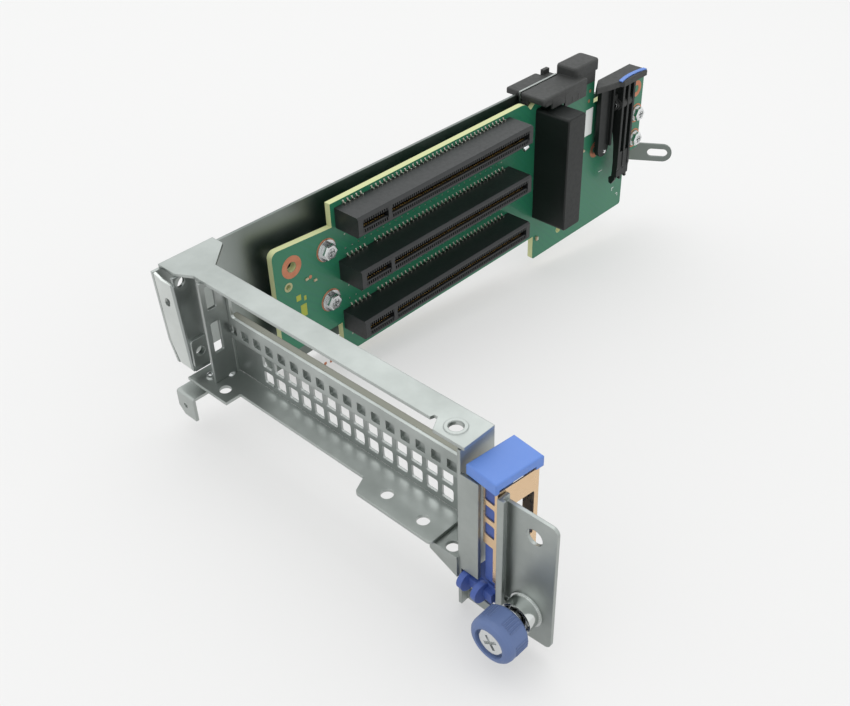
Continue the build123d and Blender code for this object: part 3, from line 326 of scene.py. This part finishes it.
def turned(name, profile, places, axis, mat, sides=36):
    """A closed profile of (radius, height) points turned about an axis, at each place."""
    along = Vector(axis).normalized()
    side = along.orthogonal().normalized()
    other = along.cross(side)
    verts, faces = [], []
    rings = len(profile)
    for place in places:
        base = len(verts)
        for step in range(sides):
            angle = 2 * math.pi * step / sides
            out = side * math.cos(angle) + other * math.sin(angle)
            for radius, height in profile:
                verts.append(tuple(Vector(place) + out * radius + along * height))
        for step in range(sides):
            here = base + step * rings
            there = base + (step + 1) % sides * rings
            for i in range(rings):
                j = (i + 1) % rings
                faces.append((here + i, there + i, there + j, here + j))
    return new_object(name, verts, faces, mat)


def stack(name, levels, mat, upright=False):
    """A closed skin over outlines: (Y, Z) points, each outline at its own X.

    Upright, the points are (X, Y), and each outline has its own Z."""
    count = len(levels[0][1])
    if upright:
        verts = [(x, y, z) for z, outline in levels for x, y in outline]
    else:
        verts = [(x, y, z) for x, outline in levels for y, z in outline]
    last = (len(levels) - 1) * count
    faces = [tuple(reversed(range(count))), tuple(range(last, last + count))]
    for level in range(len(levels) - 1):
        for i in range(count):
            j = (i + 1) % count
            a, b = level * count, (level + 1) * count
            faces.append((a + i, a + j, b + j, b + i))
    return new_object(name, verts, faces, mat)


def rounded(low, high, radius, inset=0.0):
    """Outline of a rounded rectangle between two corners, drawn in by an inset."""
    points = []
    reach = radius - inset
    corners = ((high[0], high[1]), (low[0], high[1]), (low[0], low[1]), (high[0], low[1]))
    for quarter, (a, b) in enumerate(corners):
        centre_a = a - radius if quarter in (0, 3) else a + radius
        centre_b = b - radius if quarter in (0, 1) else b + radius
        for step in range(CORNER_STEPS + 1):
            angle = math.pi / 2 * (quarter + step / CORNER_STEPS)
            points.append((centre_a + reach * math.cos(angle), centre_b + reach * math.sin(angle)))
    return points


def slab(low, high, radius, edge, mat):
    """An upright plate or block with rounded corners and a softened top edge."""
    plan = (low[:2], high[:2])
    levels = [
        (low[2], rounded(*plan, radius)),
        (high[2] - edge, rounded(*plan, radius)),
        (high[2] - edge * 0.3, rounded(*plan, radius, edge * 0.3)),
        (high[2], rounded(*plan, radius, edge)),
    ]
    return stack("slab", levels, mat, upright=True)


def ring_profile(inner, outer, height):
    """Profile of a flat ring, to be turned."""
    return ((inner, 0), (outer, 0), (outer, height), (inner, height))


def mirrored(half, z):
    """Half an outline of (X, across) points, with its mirror image about a centre line at Z."""
    image = [(x, z - across) for x, across in reversed(half)]
    return [(x, z + across) for x, across in half] + image


def joined(name, pieces, mat):
    """One mesh from several plain ones."""
    verts, faces = [], []
    for piece in pieces:
        start = len(verts)
        verts += [tuple(c / MM for c in v.co) for v in piece.data.vertices]
        faces += [tuple(start + i for i in polygon.vertices) for polygon in piece.data.polygons]
        bpy.data.objects.remove(piece)
    return new_object(name, verts, faces, mat)


def settle(made, body, slot_name, *stands_for):
    """Fixes a finished piece to its body and hides the parts it stands for; the name of its finish
    is not used.
    """
    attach(made, body)
    if stands_for:
        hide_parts(*stands_for)
    return made


# Geometry nodes: rows of one element

def row_tree():
    """Each point of the base mesh starts a row: an element, repeated by a count and a pitch."""
    tree = bpy.data.node_groups.new("rows of one element", "GeometryNodeTree")
    for name, kind in (
        ("Starts", "Geometry"), ("Element", "Object"), ("Count", "Int"), ("Pitch", "Vector"),
        ("Finish", "Material"),
    ):
        tree.interface.new_socket(name=name, in_out="INPUT", socket_type="NodeSocket" + kind)
    tree.interface.new_socket(name="Rows", in_out="OUTPUT", socket_type="NodeSocketGeometry")
    given = add(tree, "NodeGroupInput")
    result = add(tree, "NodeGroupOutput")
    element = add(tree, "GeometryNodeObjectInfo")
    line = add(tree, "GeometryNodeMeshLine", mode="OFFSET")
    one_row = add(tree, "GeometryNodeInstanceOnPoints")
    row_mesh = add(tree, "GeometryNodeRealizeInstances")
    all_rows = add(tree, "GeometryNodeInstanceOnPoints")
    real = add(tree, "GeometryNodeRealizeInstances")
    finish = add(tree, "GeometryNodeSetMaterial")
    for a, b in (
        (given.outputs["Element"], element.inputs["Object"]),
        (given.outputs["Count"], line.inputs["Count"]),
        (given.outputs["Pitch"], line.inputs["Offset"]),
        (line.outputs["Mesh"], one_row.inputs["Points"]),
        (element.outputs["Geometry"], one_row.inputs["Instance"]),
        (one_row.outputs["Instances"], row_mesh.inputs["Geometry"]),
        (given.outputs["Starts"], all_rows.inputs["Points"]),
        (row_mesh.outputs["Geometry"], all_rows.inputs["Instance"]),
        (all_rows.outputs["Instances"], real.inputs["Geometry"]),
        (real.outputs["Geometry"], finish.inputs["Geometry"]),
        (given.outputs["Finish"], finish.inputs["Material"]),
        (finish.outputs["Geometry"], result.inputs["Rows"]),
    ):
        tree.links.new(a, b)
    return tree


ROWS = row_tree()


def rows(name, element, starts, count, pitch, mat):
    """A plain mesh of rows of one element, made by the tree above."""
    holder = new_object(name + "_starts", starts, [], mat)
    modifier = holder.modifiers.new("rows", "NODES")
    modifier.node_group = ROWS
    values = {"Element": element, "Count": count, "Pitch": [c * MM for c in pitch], "Finish": mat}
    for item in ROWS.interface.items_tree:
        if item.in_out == "INPUT" and item.name in values:
            modifier[item.identifier] = values[item.name]
    bpy.context.view_layer.update()
    seen = holder.evaluated_get(bpy.context.evaluated_depsgraph_get())
    mesh = bpy.data.meshes.new_from_object(seen)
    mesh.name = name
    holder.modifiers.remove(modifier)
    bpy.data.objects.remove(holder)
    bpy.data.objects.remove(element)
    made = bpy.data.objects.new(name, mesh)
    bpy.context.scene.collection.objects.link(made)
    return made


# Card slots: housings with a groove, a key, and a step where the contact cells stand
SLOT_Z = (0.0, 20.32, 40.64)
SLOT_HIGH = 11.25
HALF_WIDTH = 3.75
EDGE = 0.7
GROOVE = 0.95
GROOVE_FLOOR = 3.05
CELL = (1.3, 2.35)
CELL_FLOOR = 9.2
HOUSING_Y = (-3.0, 86.0)
KEY_Y = (10.7, 12.3)
GROOVE_Y = (-0.9, 83.9)
FOOT_Y = (1.1, 11.5, 81.9)
FOOT_HALF, FOOT_OUT, FOOT_HIGH = 1.6, 4.45, 1.8
MOUTH_TOP, MOUTH_END = 0.2, 0.55
SIDES = [(z, side) for z in SLOT_Z for side in (-1, 1)]
closed_half = ((0, HALF_WIDTH), (SLOT_HIGH - EDGE, HALF_WIDTH), (SLOT_HIGH, HALF_WIDTH - EDGE))
open_half = closed_half + (
    (SLOT_HIGH, CELL[1]), (CELL_FLOOR, CELL[1]), (CELL_FLOOR, CELL[0]),
    (SLOT_HIGH - MOUTH_TOP, CELL[0]), (SLOT_HIGH - MOUTH_END, GROOVE), (GROOVE_FLOOR, GROOVE),
)
closed_y = ((HOUSING_Y[0], GROOVE_Y[0]), KEY_Y, (GROOVE_Y[1], HOUSING_Y[1]))
open_y = ((GROOVE_Y[0], KEY_Y[0]), (KEY_Y[1], GROOVE_Y[1]))
for number, z in enumerate(SLOT_Z, start=1):
    solid = prism("solid", mirrored(closed_half, z), closed_y, slot_black)
    hollow = prism("hollow", mirrored(open_half, z), open_y, slot_black)
    foot_spans = []
    for y in FOOT_Y:
        low = (0, y - FOOT_HALF, z - FOOT_OUT)
        foot_spans.append((low, (FOOT_HIGH, y + FOOT_HALF, z - HALF_WIDTH)))
    feet = boxes("feet", foot_spans, slot_black)
    housing = joined(f"slot_housing_{number}", (solid, hollow, feet), slot_black)
    settle(housing, "frame", "slot_black", f"slot_{number}")

# Thin walls between the contact cells, on both sides of each groove
WALL_THICK = 0.42
CELL_HALF = 0.53
wall_low = (CELL_FLOOR, -WALL_THICK / 2, -CELL_HALF)
wall_high = (SLOT_HIGH - 0.05, WALL_THICK / 2, CELL_HALF)
for label, first_y, count in (("near", GROOVE_Y[0] + 0.4, 12), ("far", KEY_Y[1] + 0.2, 72)):
    element = boxes("cell_wall", [(wall_low, wall_high)], slot_black)
    starts = [(0, first_y, z + side * sum(CELL) / 2) for z, side in SIDES]
    made = rows(f"cell_walls_{label}", element, starts, count, (0, 1, 0), slot_black)
    settle(made, "frame", "slot_black")

# Spring contacts in the grooves, 1 mm apart
CONTACT_IN = 0.09
CONTACT_UP = 0.4
contact_low = (GROOVE_FLOOR + CONTACT_UP, -0.25, -0.08)
contact_high = (CELL_FLOOR + CONTACT_UP, 0.25, 0.08)
for label, first_y, count in (("near", 0.0, 11), ("far", 13.0, 71)):
    element = boxes("contact", [(contact_low, contact_high)], gold)
    starts = [(0, first_y, z + side * (GROOVE - CONTACT_IN)) for z, side in SIDES]
    made = rows(f"slot_contacts_{label}", element, starts, count, (0, 1, 0), gold)
    settle(made, "frame", "contact_metal")

# Pads and solder under the tails, and plated holes between the slots
PAD_OUT = 4.3
pad_spans = [((0, -0.36, -0.75), (0.05, 0.36, 0.75)), ((0.05, -0.28, -0.5), (0.35, 0.28, 0.5))]
for label, first_y, count in (("near", 1.0, 5), ("far", 14.0, 35)):
    element = boxes("pad", pad_spans, tinned)
    starts = [(0, first_y, z + side * PAD_OUT) for z, side in SIDES]
    made = rows(f"solder_pads_{label}", element, starts, count, (0, 2, 0), tinned)
    settle(made, "frame", "contact_metal")
via_z = [z + across for z in SLOT_Z[:2] for across in (7.2, 12.6)] + [SLOT_Z[0] - 8.0]
element = turned("via", ring_profile(0.12, 0.32, 0.03), [(0, 0, 0)], (1, 0, 0), tinned, 10)
made = rows("board_vias", element, [(0, 0.5, z) for z in via_z], 28, (0, 3, 0), tinned)
settle(made, "frame", "contact_metal")


# Bare lands and printed marks on the board's front face

def board_rings(name, radii, high, places, mat, slot_name, sides=36):
    """Flat rings on the board, at (Y, Z) places."""
    spots = [(0, y, z) for y, z in places]
    made = turned(name, ring_profile(*radii, high), spots, (1, 0, 0), mat, sides)
    settle(made, "frame", slot_name)


def board_marks(name, spans, high, mat, slot_name):
    """Flat marks on the board, each from a low to a high (Y, Z) corner."""
    made = boxes(name, [((0, *low), (high, *top)) for low, top in spans], mat)
    settle(made, "frame", slot_name)


SCREWS = ((-8.0, 30.7), (-8.0, 10.8), (171.8, 15.7), (171.8, 4.0))
CORNERS = ((143.0, 9.4), (170.5, 27.2))
DOTS = ((-15.8, 24.0), (136.6, 37.6), (136.2, 33.4), (-13.4, -13.6), (-10.6, -14.0))
board_rings("earth_ring", (1.85, 4.1), 0.05, [(-23.0, 31.3)], bare_copper, "copper_spring")
board_rings("pilot_ring", (0.95, 1.7), 0.04, [(-25.2, 24.5)], bare_laminate, "board_green")
board_rings("screw_rings", (3.6, 4.25), 0.05, SCREWS, bare_copper, "copper_spring")
board_rings("corner_ring", (1.6, 3.6), 0.05, CORNERS, bare_copper, "copper_spring")
board_rings("copper_dots", (0.0, 0.7), 0.05, DOTS, bare_copper, "copper_spring", sides=12)
board_marks("blank_label", [((134.6, 18.0), (139.4, 29.8))], 0.09, label_white, "chip_body")
silk = [((y, z), (y + wide, z + tall)) for y, z, wide, tall in (
    (158.0, -15.6, 1.6, 0.3), (158.2, -16.8, 0.3, 1.2), (161.4, -19.6, 1.5, 0.3),
    (162.7, -20.9, 0.3, 1.3), (105.0, -16.9, 1.4, 0.3), (106.2, -18.2, 0.3, 1.4),
    (146.8, -3.0, 2.6, 0.25),
)]
board_marks("silk_marks", silk, 0.03, label_white, "board_green")
stain = [
    ((-22.6, 17.4), (-20.6, 19.6)), ((-21.2, 10.4), (-18.6, 15.2)), ((-19.4, 16.4), (-18.4, 18.2)),
]
board_marks("yellow_marks", stain, 0.025, mark_yellow, "board_green")

# Four raised quarters in each screw socket leave a cross between them
QUARTER_GAP, QUARTER_R, QUARTER_HIGH = 0.24, 1.1, 0.75
SOCKET_X = 1.75
arc = [(QUARTER_GAP, QUARTER_GAP)]
for angle in (0, 0.52, 1.05, 1.57):
    y, z = QUARTER_R * math.cos(angle), QUARTER_R * math.sin(angle)
    arc.append((QUARTER_GAP + y, QUARTER_GAP + z))
count = len(arc)
verts, faces = [], []
for quarter in range(4):
    base = len(verts)
    c, s = math.cos(math.pi / 2 * quarter), math.sin(math.pi / 2 * quarter)
    verts += [(x, y * c - z * s, y * s + z * c) for x in (0, QUARTER_HIGH) for y, z in arc]
    faces.append(tuple(base + i for i in reversed(range(count))))
    faces.append(tuple(base + count + i for i in range(count)))
    for i in range(count):
        j = (i + 1) % count
        faces.append((base + i, base + j, base + count + j, base + count + i))
element = new_object("quarter", verts, faces, bright)
starts = [(SOCKET_X, y, z) for y, z in SCREWS]
settle(rows("screw_crosses", element, starts, 1, (0, 0, 0), bright), "frame", "bright_steel")

# Tall block beside the slots, with rounded corners and a softened outer edge
BLOCK_R = 1.3
block = ((101.6, -6.0), (112.2, 42.0))
levels = [
    (0, rounded(*block, BLOCK_R)), (15.6, rounded(*block, BLOCK_R)),
    (16.0, rounded(*block, BLOCK_R, inset=0.4)),
]
settle(stack("tall_block", levels, tall_black), "frame", "slot_black", "tall_connector")

# Grip over the wall's top edge
grip_boxes = [
    # skirts in front of the board
    ((5.2, 104.0, 42.9), (6.0, 112.2, 47.0)), ((5.2, 112.0, 41.0), (6.0, 125.4, 47.0)),
    ((0.1, 122.4, 42.6), (5.4, 125.4, 47.0)), ((4.8, 100.0, 45.0), (6.0, 104.2, 47.0)),
    # bridge to the wing, and foot of the raised rear block
    ((-9.8, 116.6, 45.8), (-6.2, 121.6, 47.9)), ((-6.4, 120.9, 43.0), (2.6, 135.6, 48.0)),
    # lip and hook at the near end
    ((-5.0, 98.6, 45.8), (5.8, 100.4, 47.0)), ((-5.0, 98.8, 41.2), (-2.0, 103.0, 47.0)),
    # peg, and two small ribs on the skirt
    ((-11.0, 117.8, 47.0), (-9.4, 121.3, 49.8)),
    ((5.9, 116.3, 41.4), (6.05, 117.1, 43.8)), ((5.9, 120.1, 41.4), (6.05, 120.9, 43.8)),
]
grip_pieces = [
    boxes("grip_boxes", grip_boxes, cover_black),
    # plate over the board, wing outside the wall, and raised rear block
    slab((-5.3, 98.3, 46.8), (6.2, 125.9, 48.4), 1.1, 0.7, cover_black),
    slab((-13.2, 99.2, 46.0), (-6.5, 117.4, 48.1), 1.0, 0.6, cover_black),
    slab((-7.1, 121.9, 47.6), (2.9, 137.8, 52.0), 1.8, 0.9, cover_black),
]
settle(joined("wall_edge_grip", grip_pieces, cover_black), "frame", "cover_black", "edge_grip")
strip = boxes("wall_edge_strip", [((-6.3, 98.8, 44.0), (-5.5, 121.2, 48.5))], steel)
settle(strip, "frame", "steel")

# Far lever: thumb plate, its backing, and the hub
LEVER_BACK = 1.7
LEVER_PIN_X, LEVER_PIN_Z = 4.6, 28.6
plate_outline = [
    (LEVER_BACK, 138.9), (5.8, 131.9), (6.7, 131.7), (8.6, 138.0), (9.6, 143.2), (11.0, 144.4),
    (11.0, 160.0), (10.3, 160.7), (LEVER_BACK, 160.7),
]
plate_inset = [
    (2.0, 139.1), (6.0, 132.4), (6.5, 132.3), (8.2, 138.1), (9.2, 143.4), (10.6, 144.7),
    (10.6, 159.8), (10.1, 160.3), (2.0, 160.3),
]
plate_levels = [(39.7, plate_outline), (41.6, plate_outline), (42.0, plate_inset)]
backing_spans = [
    ((LEVER_BACK, 147.0, 30.0), (LEVER_PIN_X, 158.4, 33.0)),
    ((LEVER_BACK, 149.8, 20.0), (3.0, 158.5, 40.2)),
]
hub_profile = ((1.06, 0), (2.5, 0), (2.5, 8.7), (1.06, 8.7))
hub_place = (LEVER_PIN_X, 149.8, LEVER_PIN_Z)
plate_pieces = [
    stack("plate", plate_levels, cover_black, upright=True),
    boxes("backing", backing_spans, cover_black),
    turned("hub", hub_profile, [hub_place], (0, 1, 0), cover_black, 24),
]
settle(joined("far_lever", plate_pieces, cover_black), "end_lever", "cover_black", "end_latch")

# Far lever: an arm with a round lower end, and three ribs of which the first is hooked
ARM_Y, ARM_R, ARM_LOW, ARM_TOP = 143.6, 3.6, 7.0, 40.6
ARM_FRONT = 3.6
ARM_STEPS = 10
RIB_FRONT = 7.2
RIB_THICK = 1.3
arm_outline = []
for step in range(ARM_STEPS + 1):
    bend = math.pi * step / ARM_STEPS
    arm_outline.append((ARM_Y - ARM_R * math.cos(bend), ARM_LOW + ARM_R * (1 - math.sin(bend))))
arm_outline += [(147.8, ARM_TOP), (139.6, ARM_TOP)]
edge_spans = [((1.8, 146.2, 11.4), (5.0, 147.4, 40.2)), ((5.9, 150.0, -4.6), (7.0, 158.4, 7.0))]
lever_pieces = [
    stack("arm", [(LEVER_BACK, arm_outline), (ARM_FRONT, arm_outline)], tall_black),
    boxes("arm_edge", edge_spans, tall_black),
]
for rib_y, rib_low, hook in ((149.9, -6.0, 3.2), (153.5, -4.6, 4.8), (157.2, -4.6, 4.8)):
    side_view = [
        (LEVER_BACK, 40.0), (RIB_FRONT, 40.0), (RIB_FRONT, 0.0), (6.2, rib_low),
        (hook + 1.6, rib_low - 2.2), (hook + 0.3, rib_low - 1.8), (hook, rib_low + 0.6),
        (4.6, rib_low + 1.4), (4.8, 2.0), (4.4, 10.0), (LEVER_BACK, 25.0),
    ]
    lever_pieces.append(prism("rib", side_view, ((rib_y, rib_y + RIB_THICK),), tall_black))
settle(joined("lever_ribs", lever_pieces, tall_black), "end_lever", "cover_black")

# Ears on the board that carry the lever, its pin, and the stud at the arm's end
ear_view = [(0, 22.6), (4.6, 26.2), (6.4, 28.6), (4.6, 31.0), (0, 29.6)]
ears = prism("lever_ears", ear_view, ((148.3, 149.5), (158.9, 160.3)), cover_black)
settle(ears, "frame", "cover_black", "end_latch_base")
pin_profile = ((0, 0), (1.0, 0), (1.0, 12.4), (0, 12.4))
pin_place = (LEVER_PIN_X, 148.1, LEVER_PIN_Z)
pin = turned("lever_pin", pin_profile, [pin_place], (0, 1, 0), bright, 20)
settle(pin, "frame", "bright_steel", "end_latch_pin")
stud_profile = ((0, 0), (0.9, 0), (0.7, 0.5), (0, 0.6))
stud = turned("arm_stud", stud_profile, [(ARM_FRONT, 144.6, 9.0)], (1, 0, 0), bright, 16)
settle(stud, "end_lever", "bright_steel")

# Knob of the thumbscrew: softened front edge, seat for the screw head, six groups of small ribs
THUMB_X, THUMB_Z = 130.1, 5.2
KNOB_BACK_Y = -69.3
KNOB_RIB_Y = (-74.4, -70.3)
knob_profile = (
    (5.2, 0), (5.8, 0), (6.6, 0.8), (6.6, 6.0), (6.4, 6.8), (5.9, 7.4), (5.1, 7.8), (4.3, 7.8),
    (4.3, 6.2), (2.7, 6.2), (2.7, 3.6), (5.2, 3.6),
)
knob_rib = ((6.4, -0.28), (6.8, -0.18), (6.8, 0.18), (6.4, 0.28))
knob_place = (THUMB_X, KNOB_BACK_Y, THUMB_Z)
knob_pieces = [turned("knob", knob_profile, [knob_place], (0, -1, 0), blue_knob, 72)]
for turn in [60 * group + offset for group in range(6) for offset in (-12, -4, 4, 12)]:
    c, s = math.cos(math.radians(turn)), math.sin(math.radians(turn))
    rib_view = [(THUMB_X + r * c - w * s, THUMB_Z + r * s + w * c) for r, w in knob_rib]
    knob_pieces.append(prism("knob_rib", rib_view, (KNOB_RIB_Y,), blue_knob))
settle(joined("ribbed_knob", knob_pieces, blue_knob), "thumb_turner", "latch_blue", "thumb_knob")

# Return spring of the thumbscrew, from its washer to the bottom of the ferrule
COIL_TURNS, COIL_STEPS, WIRE_SIDES = 5, 28, 8
COIL_LOW, COIL_HIGH, COIL_R, WIRE_R = -72.03, -62.57, 3.15, 0.34
verts, faces = [], []
for step in range(COIL_TURNS * COIL_STEPS + 1):
    turn = 2 * math.pi * step / COIL_STEPS
    y = COIL_LOW + (COIL_HIGH - COIL_LOW) * step / (COIL_TURNS * COIL_STEPS)
    for side in range(WIRE_SIDES):
        angle = 2 * math.pi * side / WIRE_SIDES
        reach = COIL_R + WIRE_R * math.cos(angle)
        x, z = THUMB_X + reach * math.cos(turn), THUMB_Z + reach * math.sin(turn)
        verts.append((x, y + WIRE_R * math.sin(angle), z))
    if step:
        base = (step - 1) * WIRE_SIDES
        for i in range(WIRE_SIDES):
            j = (i + 1) % WIRE_SIDES
            faces.append((base + i, base + j, base + j + WIRE_SIDES, base + i + WIRE_SIDES))
faces.append(tuple(range(WIRE_SIDES)))
faces.append(tuple(reversed(range(len(verts) - WIRE_SIDES, len(verts)))))
spring = new_object("return_spring", verts, faces, bright)
settle(spring, "frame", "bright_steel", "thumb_spring")
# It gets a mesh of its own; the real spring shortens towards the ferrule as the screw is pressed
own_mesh(spring)

# Core of the card latch, close behind the windows of its spring sheet, in the latch's turned plan
LATCH_CORNER = (111.75, -64.2)
ACROSS, INWARD = (0.99357, -0.1132), (0.1132, 0.99357)
core_view = []
for u, v in ((5.3, 1.5), (9.0, 1.5), (9.0, 3.7), (5.3, 3.7)):
    core_view.append(tuple(LATCH_CORNER[i] + u * ACROSS[i] + v * INWARD[i] for i in (0, 1)))
core = stack("latch_core", [(7.5, core_view), (41.2, core_view)], latch_blue, upright=True)
settle(core, "latch", "latch_blue")

# Rivets in the corner of the arm
dome = ((0, 0), (1.5, 0), (1.3, 0.5), (0.7, 0.85), (0, 0.95))
rivet_places = [(3.6, -61.7, 12.0), (7.6, -57.0, 12.0)]
rivets = turned("floor_rivets", dome, rivet_places, (0, 0, 1), bright, 24)
settle(rivets, "frame", "steel")

# Bright guide peg at the far end of the top slot
peg_profile = ((0, 0), (0.8, 0), (0.8, 2.4), (0.4, 2.9), (0, 2.9))
peg = turned("slot_peg", peg_profile, [(7.0, 86.0, 33.2)], (0, 1, 0.2), bright, 16)
settle(peg, "frame", "bright_steel")


# Floor, light and camera

# The riser leans on its board's lower edge and the arm's end, so the floor slopes in its frame
FLOOR_SLOPE = 0.132
FLOOR_Y, FLOOR_Z = 102.6 * MM, -29.7 * MM
FLOOR_CLEAR = 0.0003
FLOOR_HALF = 3.0
paper, _, paper_shader, _ = start_material("pale studio paper")
paper_shader.inputs["Base Color"].default_value = srgb("#acabab")
paper_shader.inputs["Emission Color"].default_value = srgb("#f4f4f3")
paper_shader.inputs["Emission Strength"].default_value = 0.435
paper_shader.inputs["Roughness"].default_value = 0.9
paper_shader.inputs["Specular IOR Level"].default_value = 0.1
corners = []
for side_x, side_y in ((-1, -1), (1, -1), (1, 1), (-1, 1)):
    x, y = side_x * FLOOR_HALF, side_y * FLOOR_HALF
    corners.append((x, y, FLOOR_Z + FLOOR_SLOPE * (FLOOR_Y - y) - FLOOR_CLEAR))
floor_mesh = bpy.data.meshes.new("studio_floor")
floor_mesh.from_pydata(corners, [], [(0, 1, 2, 3)])
floor_mesh.materials.append(paper)
floor = bpy.data.objects.new("studio_floor", floor_mesh)
bpy.context.scene.collection.objects.link(floor)

world = bpy.data.worlds.new("soft studio")
bpy.context.scene.world = world
world.use_nodes = True
background = world.node_tree.nodes["Background"]
background.inputs["Color"].default_value = srgb("#f4f6f6")
background.inputs["Strength"].default_value = 1.2


def area_light(name, place, target, size, power):
    """A square softbox that looks at a target."""
    data = bpy.data.lights.new(name, "AREA")
    data.shape = "SQUARE"
    data.size = size
    data.energy = power
    lamp = bpy.data.objects.new(name, data)
    lamp.location = Vector(place)
    lamp.rotation_euler = (Vector(target) - Vector(place)).to_track_quat("-Z", "Y").to_euler()
    bpy.context.scene.collection.objects.link(lamp)


area_light("overhead softbox", (-0.2, 0.35, 1.1), (0.03, 0.03, 0.0), size=1.1, power=3.2)
area_light("front softbox", (0.1, -1.0, 0.9), (0.05, 0.05, 0.0), size=0.7, power=0.8)

# Camera where the photo was taken from, with its focal length in pixels of the photo
CAMERA_PLACE = (0.2347, -0.2013, 0.2172)
SENSOR_WIDTH = 36.0
FOCAL_PIXELS = 1071.9
PHOTO_WIDTH = 850
azimuth = math.radians(44.6)
elevation = math.radians(37.33)
roll = math.radians(-2.02)
level = math.cos(elevation)
right = Vector((math.cos(azimuth), math.sin(azimuth), 0))
back = Vector((math.sin(azimuth) * level, -math.cos(azimuth) * level, math.sin(elevation)))
up = back.cross(right)
row_right = right * math.cos(roll) + up * math.sin(roll)
row_up = up * math.cos(roll) - right * math.sin(roll)
camera_data = bpy.data.cameras.new("photo camera")
camera_data.sensor_fit = "HORIZONTAL"
camera_data.sensor_width = SENSOR_WIDTH
camera_data.lens = SENSOR_WIDTH * FOCAL_PIXELS / PHOTO_WIDTH
camera_data.clip_start = 0.01
camera_data.clip_end = 20.0
camera = bpy.data.objects.new("photo camera", camera_data)
turn = Matrix((row_right, row_up, back)).transposed().to_4x4()
camera.matrix_world = Matrix.Translation(CAMERA_PLACE) @ turn
bpy.context.scene.collection.objects.link(camera)
bpy.context.scene.camera = camera
bpy.context.scene.view_settings.view_transform = "Standard"
